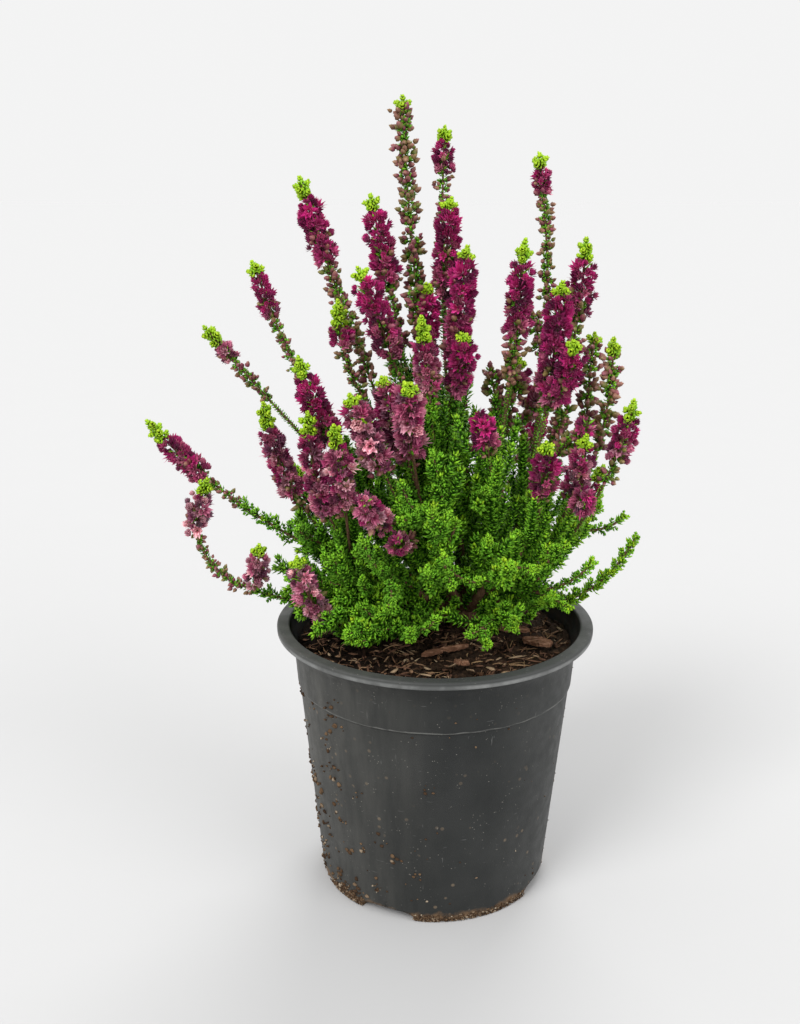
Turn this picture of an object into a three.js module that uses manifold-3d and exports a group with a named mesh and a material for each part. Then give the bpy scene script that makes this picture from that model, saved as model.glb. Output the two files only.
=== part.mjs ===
// Common heather in a plastic nursery pot, in flower.
// Millimetres, +Z up, origin at the centre of the pot's flat underside, -Y is the front.
import * as THREE from "three";
import { mergeVertices } from "three/addons/utils/BufferGeometryUtils.js";
import Module from "manifold-3d";

const wasm = await Module();
wasm.setup();

// ---------------------------------------------------------------- driving dimensions

// Pot
const RIM_RADIUS = 60;
const POT_HEIGHT = 103.7;
const WALL = 1.2;
const FLANGE_WIDTH = 4.8;
const LIP_HEIGHT = 2.8;
const LIP_ROUND = 0.7;
const FLARE_TOP = 100; // the wall flares out to the flange between these two heights
const FLARE_BOTTOM = 95.5;
const BAND_BOTTOM = 80.5; // small step below the plain band under the lip
const BAND_RADIUS = 52.6;
const BAND_TOP_RADIUS = 53.7;
const BODY_TOP_RADIUS = 51.9;
const FOOT_HEIGHT = 1.6;
const FOOT_TOP_RADIUS = 44.2;
const FOOT_RADIUS = 43.2;
const FLOOR = 1.4;
const POT_SIDES = 32;
const WELD = 1e-4; // corners nearer than this are one

// Drain pockets, open at the foot's corner
const POCKETS = 4;
const POCKET_FIRST_DEG = -113; // direction of the first pocket, from +X towards +Y
const POCKET_HALF_DEG = 14;
const POCKET_HEIGHT = 4;
const POCKET_BACK = 33; // radius of the pocket's back wall
const DRAIN_WIDTH = 7;
const DRAIN_LENGTH = 4;

// Compost
const SOIL_LEVEL = 96;
const SOIL_RINGS = [42, 32, 22, 12]; // radii of the rings that carry the crumbly surface
const SOIL_SIDES = 24;
const FIT = 0.3; // clearance between pieces that touch
const CROWN = [12, 13, 100];
const CROWN_SPREAD = 2.6; // main branches leave the crown this far from its middle
const CROWN_RISE = 5; // and the steeper ones this much higher
const CROWN_HOLE_RADIUS = 6;
const CROWN_DEPTH = 24; // how deep the crown stands in the compost

// Main branches, by their upper ends
const mainBranches = [
  [9, 18, 142],
  [0, 12, 136],
  [-10, 14, 128],
  [-22, 10, 118],
  [-30, 0, 112],
  [-8, -6, 118],
  [5, -6, 122],
  [18, -4, 117],
  [20, 14, 138],
  [30, 10, 132],
  [38, 8, 118],
  [12, 30, 126],
  [30, 28, 118],
  [-8, 28, 118],
  [22, 36, 109],
];
const MAIN_RADIUS = 1.5; // at a main branch's upper end
const MAIN_TAPER = 0.02; // added radius for each millimetre towards the crown

// Stems
const WOOD_RADIUS = 1; // at a twig's upper end
const WOOD_TAPER = 0.006;
const WOOD_STEP = 45;
const WOOD_SIDES = 3;
const FORKS = [0.4, 0.55, 0.7, 0.85, 0.97]; // where stems may leave a main branch
const FORK_HIGH = 0.15; // how much a fork higher up is preferred
const ROOT = 1.2; // plain stretch at the foot of a stem
const SHOOT_ROOT = 3.6; // and of a side shoot, mostly inside its stem
const SEAT = 0.3; // gap where one stem piece sits on another
const PATH_STEPS = 24;
const CLEAR = 0.45; // least distance kept between the envelopes of two sprays
const PROBE_STEP = 2.4;
const GOLDEN = 2.399963; // golden angle in radians
const STEM_TRIES = 90; // places that a stem tries, each this much farther from where it is drawn
const STEM_STEP = 1.1;
const EASY_TRIES = 40; // a leafy stem that needs more than these starts its foliage higher
const BARE_FROM = 5; // least and greatest bare length below a leafy stem's foliage
const BARE_TO = 60;
const ARM_STEP = 1.4;
const SWAY = 0.5; // how much of a move aside is to the left or right

// Relief of each kind of stretch along a stem: distance between whorls, reach of the tips,
// radius of the notches between them, and how far the tips lean forward.
const RELIEF = {
  green: { pitch: 3.2, reach: 2.8, notch: 0.95, lean: 1.5 },
  florets: { pitch: 4.5, reach: 5, notch: 3.1, lean: 0.9 },
  buds: { pitch: 4, reach: 3.7, notch: 0.85, lean: 0.9 },
  leaf: { pitch: 4.6, reach: 2.9, notch: 0.95, lean: 1.8 },
  stalk: { pitch: 12, reach: 0.95, notch: 0.95, lean: 0 },
};
const FLORET_SIDES = 6;
const SHOOT_SIDES = 4;
const CORE = { reach: 0.95, notch: 0.95, lean: 0 };

// Side shoots of the leafy stems
const SHOOT_SPACING = 12;
const SHOOT_LENGTH = 28;
const SHOOT_SHORTEST = 8;
const SHOOT_SPREAD = 0.72; // radians between a side shoot and its stem
const SHOOT_TRIES = 8;
const SHOOT_VARIES = 0.4; // range of the seeded spread in length and angle
const SHOOT_TURN = 1.6; // turns of the golden angle between two tries

// Flowering stems, given by the tip, the point half-way along, and the lengths of the green
// tip, the open florets, the buds and the leafy stretch, from the tip down. A head is a side
// branch that leaves its stem at the fraction `from`.
const floweringStems = [
  { tip: [-13, 26, 292], through: [-5, 22, 205], green: 4, florets: 0, buds: 66, reach: 4.6,
    heads: [{ from: 0.4, tip: [-4, 12, 227], through: [-4, 16, 214], green: 3, florets: 20, buds: 0 }] },
  { tip: [2, 38, 282], through: [3, 30, 200], green: 4, florets: 10, buds: 40, reach: 3.2, fat: 4,
    heads: [{ from: 0.44, tip: [4, 18, 257], through: [3, 22, 230], green: 3, florets: 30, buds: 14 }] },
  { tip: [10, -4, 241], through: [5, 4, 174], green: 4, florets: 34, buds: 12,
    heads: [{ from: 0.5, tip: [9, -12, 212], through: [9, -8, 201], green: 2, florets: 20, buds: 4 }] },
  { tip: [-5, -14, 218], through: [0, -5, 165], green: 9, florets: 16, buds: 6, reach: 4.6, leaf: 18 },
  { tip: [-24, 14, 258], through: [-9, 15, 186], green: 5, florets: 25, buds: 25 },
  { tip: [-27, -8, 234], through: [-6, 0, 172], green: 4, florets: 26, buds: 12, fat: 5.6 },
  { tip: [-49, 12, 264], through: [-26, 12, 197], green: 7, florets: 22, buds: 46, reach: 4,
    heads: [{ from: 0.32, tip: [-35, 0, 222], through: [-31, 4, 196], green: 9, florets: 5, buds: 28, reach: 3 }] },
  { tip: [-66, 8, 235], through: [-45, 10, 182], green: 4, florets: 14, buds: 30, reach: 3.3, fat: 3.8 },
  { tip: [-86, 16, 211], through: [-42, 18, 160], green: 8, florets: 6, buds: 22, reach: 3.2, fat: 3.8 },
  { tip: [-49, -8, 203], through: [-26, -2, 150], green: 7, florets: 24, buds: 10, fat: 5.4 },
  { tip: [-63, 0, 185], through: [-40, 4, 133], green: 9, florets: 25, buds: 12 },
  { tip: [-45, -16, 185], through: [-32, -8, 134], green: 8, florets: 28, buds: 6,
    heads: [{ from: 0.42, tip: [-35, -27, 183], through: [-33, -19, 162], green: 8, florets: 24, buds: 6 }] },
  { tip: [-106, 2, 178], through: [-50, 8, 129], green: 9, florets: 18, buds: 20, reach: 2.6, leaf: 34 },
  { tip: [-84, -6, 158], through: [-98, -4, 127], green: 6, florets: 13, buds: 36, reach: 2.6, leaf: 26,
    heads: [{ from: 0.52, tip: [-66, -4, 132], through: [-67, -4, 122], green: 3, florets: 11, buds: 2 }] },
  { tip: [-49, -24, 134], through: [-40, -18, 108], green: 3, florets: 22, buds: 4, leaf: 18 },
  { tip: [-19, -12, 197], through: [-6, -6, 154], green: 3, florets: 26, buds: 6, fat: 5.6,
    heads: [{ from: 0.5, tip: [-9, -31, 198], through: [-9, -20, 180], green: 3, florets: 24, buds: 4, fat: 5.6 }] },
  { tip: [-28, -20, 193], through: [-10, -8, 147], green: 3, florets: 24, buds: 6, fat: 5.6,
    heads: [{ from: 0.45, tip: [-23, -36, 162], through: [-18, -24, 150], green: 2, florets: 17, buds: 2 }] },
  { tip: [36, 18, 272], through: [39, 17, 188], green: 4, florets: 8, buds: 42, reach: 3.4, fat: 3.6 },
  { tip: [30, -2, 243], through: [24, 4, 172], green: 7, florets: 24, buds: 20, reach: 4 },
  { tip: [53, 12, 243], through: [43, 14, 171], green: 7, florets: 18, buds: 34, reach: 4 },
  { tip: [43, -4, 229], through: [36, 4, 165], green: 4, florets: 34, buds: 10, fat: 5.4,
    heads: [{ from: 0.58, tip: [47, -14, 210], through: [46, -8, 198], green: 3, florets: 22, buds: 2 }] },
  { tip: [64, 8, 208], through: [54, 10, 150], green: 6, florets: 0, buds: 36, reach: 4,
    heads: [{ from: 0.42, tip: [59, 23, 208], through: [57, 18, 184], green: 3, florets: 0, buds: 36, reach: 4 }] },
  { tip: [70, -6, 188], through: [54, 2, 142], green: 7, florets: 14, buds: 12 },
  { tip: [38, -22, 176], through: [34, -8, 137], green: 4, florets: 15, buds: 6 },
  { tip: [53, -10, 176], through: [43, -2, 136], green: 4, florets: 16, buds: 6,
    heads: [{ from: 0.6, tip: [53, -22, 159], through: [51, -14, 152], green: 2, florets: 8, buds: 0 }] },
  { tip: [15, -19, 187], through: [21, -7, 142], green: 3, florets: 9, buds: 6 },
  { tip: [31, 18, 199], through: [20, 17, 147], green: 2, florets: 5, buds: 30, reach: 4.2,
    heads: [{ from: 0.52, tip: [40, 28, 189], through: [35, 24, 178], green: 2, florets: 8, buds: 16, reach: 4 }] },
  { tip: [-30, 60, 172], through: [-12, 38, 132], green: 7, florets: 22, buds: 14 },
  { tip: [8, 66, 188], through: [10, 42, 140], green: 7, florets: 24, buds: 16 },
  { tip: [44, 58, 178], through: [30, 38, 135], green: 6, florets: 22, buds: 16 },
  { tip: [68, 44, 152], through: [42, 32, 120], green: 7, florets: 18, buds: 12 },
  { tip: [-58, 44, 152], through: [-26, 32, 120], green: 7, florets: 20, buds: 12 },
  { tip: [26, 78, 142], through: [22, 50, 114], green: 7, florets: 18, buds: 12 },
];

// Leafy stems without flowers, by tip and half-way point. Each has an arm, which leaves it at
// the fraction `from`, and side shoots, apart from a plain one.
const leafyStems = [
  { tip: [-14, 8, 208], through: [-4, 10, 151], arms: [{ from: 0.4, tip: [-22, -2, 176] }] },
  { tip: [0, -3, 201], through: [4, 2, 149], arms: [{ from: 0.4, tip: [5, -14, 170] }] },
  { tip: [-2, -22, 174], through: [5, -9, 136], arms: [{ from: 0.35, tip: [-12, -34, 152] }] },
  { tip: [12, -4, 171], through: [13, 4, 134], arms: [{ from: 0.4, tip: [22, -18, 158] }] },
  { tip: [24, 12, 176], through: [19, 13, 136], arms: [{ from: 0.4, tip: [33, 4, 160] }] },
  { tip: [45, 12, 161], through: [31, 13, 125], arms: [{ from: 0.4, tip: [47, 28, 150] }] },
  { tip: [62, 6, 149], through: [38, 10, 120], arms: [{ from: 0.3, tip: [58, 24, 130] }] },
  { tip: [74, -4, 138], through: [50, 4, 109], arms: [], plain: true },
  { tip: [45, -16, 140], through: [30, -2, 114], arms: [{ from: 0.3, tip: [48, -24, 117] }] },
  { tip: [19, -28, 144], through: [16, -8, 118], arms: [{ from: 0.35, tip: [34, -30, 134] }] },
  { tip: [-1, -36, 157], through: [5, -12, 123], arms: [{ from: 0.35, tip: [6, -44, 132] }] },
  { tip: [-26, -30, 144], through: [-9, -12, 121], arms: [{ from: 0.35, tip: [-14, -44, 126] }] },
  { tip: [-31, 4, 168], through: [-10, 6, 127], arms: [{ from: 0.35, tip: [-36, -12, 150] }] },
  { tip: [-53, 0, 143], through: [-24, 6, 117], arms: [{ from: 0.35, tip: [-46, 18, 138] }] },
  { tip: [-38, -30, 136], through: [-15, -10, 113], arms: [{ from: 0.35, tip: [-54, -14, 122] }] },
  { tip: [-30, -40, 113], through: [-6, -16, 108], arms: [{ from: 0.4, tip: [-8, -38, 110] }] },
  { tip: [28, -32, 116], through: [21, -9, 109], arms: [{ from: 0.4, tip: [12, -38, 112] }] },
  { tip: [-8, 48, 160], through: [4, 32, 125], arms: [{ from: 0.35, tip: [-18, 40, 140] }] },
  { tip: [26, 50, 150], through: [20, 30, 120], arms: [{ from: 0.35, tip: [42, 48, 134] }] },
  { tip: [-40, 42, 134], through: [-10, 30, 114], arms: [{ from: 0.4, tip: [-6, 62, 124] }] },
];

// Bark on the compost: outline length and width, centre, direction and slope in degrees.
const barkChips = [
  { length: 17, width: 4.6, at: [29, 2], turn: -24, slope: 4, colour: 0x6a4030 },
  { length: 14, width: 7, at: [39, -9], turn: -48, slope: 6, colour: 0x5c4030 },
  { length: 17, width: 4.4, at: [10, -33], turn: -82, slope: 20, colour: 0x7a5c44 },
  { length: 19, width: 2.6, at: [4, -17], turn: 22, slope: 3, colour: 0x6b4a34 },
];
const CHIP_THICKNESS = 1.6;

// ---------------------------------------------------------------- small vector helpers

const add = (a, b, scale = 1) => a.map((value, i) => value + b[i] * scale);
const subtract = (a, b) => a.map((value, i) => value - b[i]);
const dot = (a, b) => a[0] * b[0] + a[1] * b[1] + a[2] * b[2];
const length = (a) => Math.sqrt(dot(a, a));
const unit = (a) => a.map((value) => value / length(a));
const cross = (a, b) => [
  a[1] * b[2] - a[2] * b[1],
  a[2] * b[0] - a[0] * b[2],
  a[0] * b[1] - a[1] * b[0],
];
const radians = (degrees) => (degrees * Math.PI) / 180;

let seed = 0;
function random() {
  seed = (Math.imul(seed, 1664525) + 1013904223) >>> 0;
  return seed / 4294967296;
}

// ---------------------------------------------------------------- solids

// Corners that meet share one point, and triangles that this leaves without area are dropped.
function welded(geometry) {
  const bare = geometry.index ? geometry.toNonIndexed() : geometry.clone();
  bare.deleteAttribute("normal");
  bare.deleteAttribute("uv");
  const merged = mergeVertices(bare, WELD);
  const corners = merged.index.array;
  const kept = [];
  for (let i = 0; i < corners.length; i += 3) {
    const [a, b, c] = corners.slice(i, i + 3);
    if (a !== b && b !== c && c !== a) kept.push(a, b, c);
  }
  return merged.setIndex(kept);
}

// A closed three.js geometry as a solid for joining and cutting.
function solidOf(geometry) {
  const closed = welded(geometry);
  return new wasm.Manifold(
    new wasm.Mesh({
      numProp: 3,
      vertProperties: new Float32Array(closed.attributes.position.array),
      triVerts: new Uint32Array(closed.index.array),
    }),
  );
}

function geometryOf(solid) {
  const mesh = solid.getMesh();
  const places = Float32Array.from(mesh.vertProperties, (value) => Math.round(value / WELD) * WELD);
  const geometry = new THREE.BufferGeometry();
  geometry.setAttribute("position", new THREE.BufferAttribute(places, 3));
  geometry.setIndex(new THREE.BufferAttribute(mesh.triVerts, 1));
  const closed = welded(geometry);
  closed.computeVertexNormals();
  return closed;
}

const joined = (solids) => solids.reduce((all, next) => all.add(next));

// A closed skin over rings of points, from a bottom point to a top point. Between rings of
// equally many points, each quad is folded along the line between its two notches; between
// unequal rings the band of triangles walks round both at once.
function skinOver(bottom, rings, top) {
  const points = [bottom, ...rings.flat(), top];
  const corners = [];
  let below = 1;
  for (let k = 0; k < rings[0].length; k++) corners.push(0, 1 + ((k + 1) % rings[0].length), 1 + k);
  for (let i = 0; i + 1 < rings.length; i++) {
    const [low, high] = [rings[i].length, rings[i + 1].length];
    const above = below + low;
    const lower = (k) => below + (k % low);
    const upper = (k) => above + (k % high);
    if (low === high) {
      for (let k = 0; k < low; k++) {
        const [a, b, c, d] = [lower(k), lower(k + 1), upper(k + 1), upper(k)];
        if ((i + k) % 2 === 0) corners.push(a, b, d, b, c, d);
        else corners.push(a, b, c, a, c, d);
      }
    } else {
      for (let k = 0, j = 0; k < low || j < high; ) {
        if (j === high || (k < low && (k + 1) / low <= (j + 1) / high)) {
          corners.push(lower(k), lower(k + 1), upper(j));
          k++;
        } else {
          corners.push(lower(k), upper(j + 1), upper(j));
          j++;
        }
      }
    }
    below = above;
  }
  const last = rings.at(-1).length;
  for (let k = 0; k < last; k++) corners.push(points.length - 1, below + k, below + ((k + 1) % last));
  const geometry = new THREE.BufferGeometry();
  geometry.setAttribute("position", new THREE.Float32BufferAttribute(points.flat(), 3));
  geometry.setIndex(corners);
  return geometry;
}

// ---------------------------------------------------------------- paths

// A smooth curve from `start` through the half-way point to the tip, with its running length.
function makePath(start, through, tip) {
  const control = start.map((value, i) => 2 * through[i] - (value + tip[i]) / 2);
  const points = [];
  const runs = [0];
  for (let i = 0; i <= PATH_STEPS; i++) {
    const t = i / PATH_STEPS;
    points.push(
      start.map((value, k) => (1 - t) * (1 - t) * value + 2 * t * (1 - t) * control[k] + t * t * tip[k]),
    );
    if (i > 0) runs.push(runs[i - 1] + length(subtract(points[i], points[i - 1])));
  }
  const chord = unit(subtract(tip, start));
  const side = Math.abs(chord[1]) < 0.8 ? [0, 1, 0] : [1, 0, 0];
  return { points, runs, length: runs[PATH_STEPS], side };
}

function pointAt(path, s) {
  let i = 1;
  while (i < PATH_STEPS && path.runs[i] < s) i++;
  const share = (s - path.runs[i - 1]) / (path.runs[i] - path.runs[i - 1]);
  return add(path.points[i - 1], subtract(path.points[i], path.points[i - 1]), share);
}

const directionAt = (path, s) => unit(subtract(pointAt(path, s + 0.6), pointAt(path, s - 0.6)));

// One ring of points around a path. Every other point reaches out, the rest lie in a notch.
function ringAt(path, s, sides, parity, { reach, notch, lean }, turn) {
  const centre = pointAt(path, s);
  const forward = directionAt(path, s);
  const u = unit(add(path.side, forward, -dot(path.side, forward)));
  const v = cross(forward, u);
  return Array.from({ length: sides }, (_, k) => {
    const angle = turn + (k * 2 * Math.PI) / sides;
    const out = (k + parity) % 2 === 0;
    const radius = out ? reach : notch;
    const spoke = add(add(centre, u, Math.cos(angle) * radius), v, Math.sin(angle) * radius);
    return out ? add(spoke, forward, lean) : spoke;
  });
}

// ---------------------------------------------------------------- clearance between sprays

const probes = []; // spheres along every placed stem: centre, radius, node and whether it is wood

function probesAlong(path, from, to, radius, node, wood) {
  const found = [];
  const count = Math.max(1, Math.ceil((to - from) / PROBE_STEP));
  for (let i = 0; i <= count; i++) {
    const centre = pointAt(path, from + ((to - from) * i) / count);
    found.push({ centre, radius, node, wood });
  }
  return found;
}

// Whether spheres stay clear of every other node, of the compost and of the pot's rim.
function isClear(found) {
  return found.every((probe) => {
    const [x, y, z] = probe.centre;
    const ground = Math.sqrt(x * x + y * y) < 48 ? SOIL_LEVEL + 2.5 : POT_HEIGHT + 0.6;
    if (!probe.wood && z - probe.radius < ground) return false;
    return probes.every((other) => {
      if (other.node === probe.node || (other.wood && probe.wood)) return true;
      const gap = probe.radius + other.radius + CLEAR;
      return length(subtract(probe.centre, other.centre)) > gap;
    });
  });
}

// ---------------------------------------------------------------- stems

// Lengths along a stem, from where it leaves its carrier to the tip.
function stretchesOf(stem, path, carrier) {
  const stretches = [];
  let end = path.length;
  for (const kind of ["green", "florets", "buds", "leaf"]) {
    if (!stem[kind]) continue;
    const start = Math.max(carrier, end - stem[kind]);
    stretches.unshift({ kind, from: start, to: end });
    end = start;
  }
  const fork = Math.min(...(stem.heads ?? []).map((head) => head.from * path.length - SHOOT_ROOT));
  if (fork < end) {
    stretches.unshift({ kind: "stalk", from: fork, to: end });
    end = fork;
  }
  return { stretches, from: end };
}

const reachOf = (stem, kind) => {
  if (kind === "florets") return stem.fat ?? RELIEF.florets.reach;
  if (kind === "buds") return stem.reach ?? RELIEF.buds.reach;
  return RELIEF[kind].reach;
};

// Slender core of a stem with its leaves and buds in opposite pairs, each pair turned a
// quarter from the last, and a thicker stretch of packed florets where they are open.
function stemSolid({ path, stretches, from: first, turn, root = ROOT, ...stem }) {
  const rings = [ringAt(path, first, SHOOT_SIDES, 0, CORE, turn)];
  for (const { kind, from, to } of stretches) {
    const relief = RELIEF[kind];
    const packed = kind === "florets";
    const count = Math.max(packed ? 2 : 1, Math.round((to - from) / relief.pitch));
    for (let i = 0; i < count; i++) {
      const s = from + ((i + 0.5) * (to - from)) / count;
      if (s < first + root) continue;
      const narrow = packed && (i === 0 || i === count - 1) ? 0.85 : 1;
      const size = narrow * Math.max(0.75, Math.min(1, (path.length - s) / 4));
      const shaped = { reach: reachOf(stem, kind) * size, notch: relief.notch * size, lean: relief.lean };
      const sides = packed ? FLORET_SIDES : SHOOT_SIDES;
      rings.push(ringAt(path, s, sides, rings.length, shaped, turn));
    }
  }
  const tip = add(pointAt(path, path.length), directionAt(path, path.length - 0.6), 0.9);
  return solidOf(skinOver(pointAt(path, first), rings, tip));
}

// A bare branch or twig, up to where the living stem sits on it.
function woodSolid(path, to, thin, taper) {
  const count = Math.max(1, Math.ceil(to / WOOD_STEP));
  const rings = [];
  for (let i = 0; i <= count; i++) {
    const s = (to * i) / count;
    const radius = thin + (to - s) * taper;
    rings.push(ringAt(path, s, WOOD_SIDES, 0, { reach: radius, notch: radius, lean: 0 }, 0));
  }
  return solidOf(skinOver(pointAt(path, 0), rings, pointAt(path, to)));
}

// A main branch leaves the crown on the side that it leans to, and turns up towards its end.
function makeMainBranch(end) {
  const lean = unit(subtract(end, CROWN));
  const out = CROWN_SPREAD / Math.max(0.05, Math.sqrt(lean[0] * lean[0] + lean[1] * lean[1]));
  const foot = [CROWN[0] + lean[0] * out, CROWN[1] + lean[1] * out, CROWN[2] + lean[2] * CROWN_RISE];
  const through = foot.map((value, i) => value + (end[i] - value) * (i < 2 ? 0.56 : 0.44));
  return makePath(foot, through, end);
}

// A stem's path from the best placed main branch: of the curve that would lead from the crown
// to the tip, the part beyond the fork.
function pathFromFork(trunk, through, tip) {
  const whole = makePath(CROWN, through, tip);
  let best = { cost: Infinity };
  for (const branch of trunk) {
    for (const share of FORKS) {
      const s = share * branch.length;
      const fork = pointAt(branch, s);
      const cost = length(subtract(fork, pointAt(whole, s))) - FORK_HIGH * s;
      if (cost < best.cost) best = { cost, fork, s };
    }
  }
  return makePath(best.fork, pointAt(whole, (whole.length + best.s) / 2), tip);
}

// Tries the stem as drawn, then moved aside a little at a time, mostly in depth, until no part
// of it crosses a stem that stands already.
function placeStem(stem, node, turn, trunk) {
  for (let attempt = 0; attempt < STEM_TRIES; attempt++) {
    const aside = STEM_STEP * Math.sqrt(attempt);
    const angle = attempt * GOLDEN;
    const shift = [SWAY * aside * Math.cos(angle), aside * Math.sin(angle), 0];
    const path = pathFromFork(trunk, add(stem.through, shift, 0.6), add(stem.tip, shift));
    const main = stretchesOf(stem, path, stem.bare ?? 0);
    const placed = { ...stem, ...main, path, turn };
    const found = probesAlong(path, 0, main.from - SEAT, WOOD_RADIUS + 0.3, node, true);
    for (const { kind, from, to } of main.stretches) {
      found.push(...probesAlong(path, from, to, reachOf(stem, kind) + 0.2, node, false));
    }
    const branches = (stem.heads ?? []).map((head, i) => {
      const start = pointAt(path, path.length * head.from);
      const branch = makePath(start, add(head.through, shift, 0.8), add(head.tip, shift));
      const parts = stretchesOf(head, branch, 0);
      for (const { kind, from, to } of parts.stretches) {
        found.push(...probesAlong(branch, from, to, reachOf(head, kind) + 0.2, node, false));
      }
      found.push(...probesAlong(branch, 0, parts.from, WOOD_RADIUS + 0.2, node, false));
      return { ...head, ...parts, from: 0, path: branch, turn: turn + i + 1 };
    });
    if (isClear(found)) {
      probes.push(...found);
      return { ...placed, branches, attempt };
    }
  }
  return null;
}

// A leafy stem's foliage starts as low as it stands clear of its neighbours. An arm that
// crosses one is left out.
function placeLeafyStem({ tip, through, arms, plain }, node, turn, trunk) {
  for (let bare = BARE_FROM; bare < BARE_TO; bare += 2) {
    const placed = placeStem({ tip, through, plain, leaf: Infinity, bare }, node, turn, trunk);
    if (!placed) continue;
    if (placed.attempt < EASY_TRIES) {
      placed.branches = arms.flatMap((arm, i) => placeArm(placed, arm, node, i + 1));
      return placed;
    }
    probes.splice(probes.findIndex((probe) => probe.node === node));
  }
  return null;
}

// An arm of a leafy stem, to its own tip or as near to it as is clear.
function placeArm(stem, { from, tip: end }, node, index) {
  const start = stem.from + from * (stem.path.length - stem.from);
  const origin = pointAt(stem.path, start);
  const forward = directionAt(stem.path, start);
  for (let attempt = 0; attempt < EASY_TRIES; attempt++) {
    const aside = ARM_STEP * Math.sqrt(attempt);
    const angle = attempt * GOLDEN;
    const tip = add(end, [aside * Math.cos(angle), aside * Math.sin(angle), 0.3 * aside]);
    const chord = subtract(tip, origin);
    const through = add(add(origin, chord, 0.5), forward, length(chord) * 0.08);
    const path = makePath(origin, through, tip);
    const found = probesAlong(path, 2.5, path.length, RELIEF.leaf.reach + 0.2, node, false);
    if (isClear(found)) {
      probes.push(...found);
      const stretches = [{ kind: "leaf", from: 0, to: path.length }];
      return [{ path, stretches, from: 0, turn: stem.turn + index, root: SHOOT_ROOT }];
    }
  }
  return [];
}

// Side shoots up a leafy stem, in a spiral, shorter towards its tip. A shoot that would cross
// a neighbour is turned round the stem or shortened, and left out if it still crosses.
function placeSideShoot(stem, node, index, count) {
  const height = (index + 0.35) / count;
  const s = stem.from + 2 + height * (stem.path.length - stem.from - 7);
  const start = pointAt(stem.path, s);
  const forward = directionAt(stem.path, s);
  const u = unit(add(stem.path.side, forward, -dot(stem.path.side, forward)));
  const v = cross(forward, u);
  const varied = () => 1 + SHOOT_VARIES * (random() - 0.5);
  const full = (SHOOT_LENGTH - (SHOOT_LENGTH - SHOOT_SHORTEST) * height) * varied();
  const spread = SHOOT_SPREAD * varied();
  for (let attempt = 0; attempt < SHOOT_TRIES; attempt++) {
    const reach = Math.max(SHOOT_SHORTEST, full * (1 - 0.1 * attempt));
    const angle = (index + attempt * SHOOT_TURN) * GOLDEN + stem.turn * 3;
    const outward = add(
      add([0, 0, 0], u, Math.cos(angle) * Math.sin(spread)),
      v,
      Math.sin(angle) * Math.sin(spread),
    );
    const heading = add(outward, forward, Math.cos(spread));
    const through = add(start, heading, reach * 0.52);
    const tip = add(add(through, heading, reach * 0.3), [0, 0, 1], reach * 0.2);
    const path = makePath(start, through, tip);
    const found = probesAlong(path, 2.5, path.length, RELIEF.leaf.reach + 0.2, node, false);
    if (isClear(found)) {
      probes.push(...found);
      const stretches = [{ kind: "leaf", from: 0, to: path.length }];
      return { path, stretches, from: 0, turn: stem.turn + index, root: SHOOT_ROOT };
    }
  }
  return null;
}

// ---------------------------------------------------------------- pot and compost

const wallRadius = (z) => {
  const rise = (z - FOOT_HEIGHT) / (BAND_BOTTOM - FOOT_HEIGHT);
  return FOOT_TOP_RADIUS + (BODY_TOP_RADIUS - FOOT_TOP_RADIUS) * rise;
};

function lathe(profile, sides) {
  const points = profile.map(([radius, z]) => new THREE.Vector2(radius, z));
  return new THREE.LatheGeometry(points, sides).rotateX(Math.PI / 2);
}

// A block that fills one drain pocket's sector, from its back wall to beyond the foot.
function pocketBlock(index, grown, bottom, top) {
  const back = POCKET_BACK - grown;
  const half = Math.tan(radians(POCKET_HALF_DEG)) * FOOT_RADIUS + grown;
  const shoulder = Math.min(2, top - bottom);
  const arch = new THREE.Shape([
    new THREE.Vector2(-half, bottom),
    new THREE.Vector2(half, bottom),
    new THREE.Vector2(half - shoulder * 0.25, top - shoulder),
    new THREE.Vector2(half - shoulder * 1.6, top),
    new THREE.Vector2(-half + shoulder * 1.6, top),
    new THREE.Vector2(-half + shoulder * 0.25, top - shoulder),
  ]);
  const block = new THREE.ExtrudeGeometry(arch, { depth: 24, bevelEnabled: false });
  block.rotateX(Math.PI / 2).rotateZ(Math.PI / 2).translate(back, 0, 0);
  return solidOf(block.rotateZ(radians(POCKET_FIRST_DEG + (index * 360) / POCKETS)));
}

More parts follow.
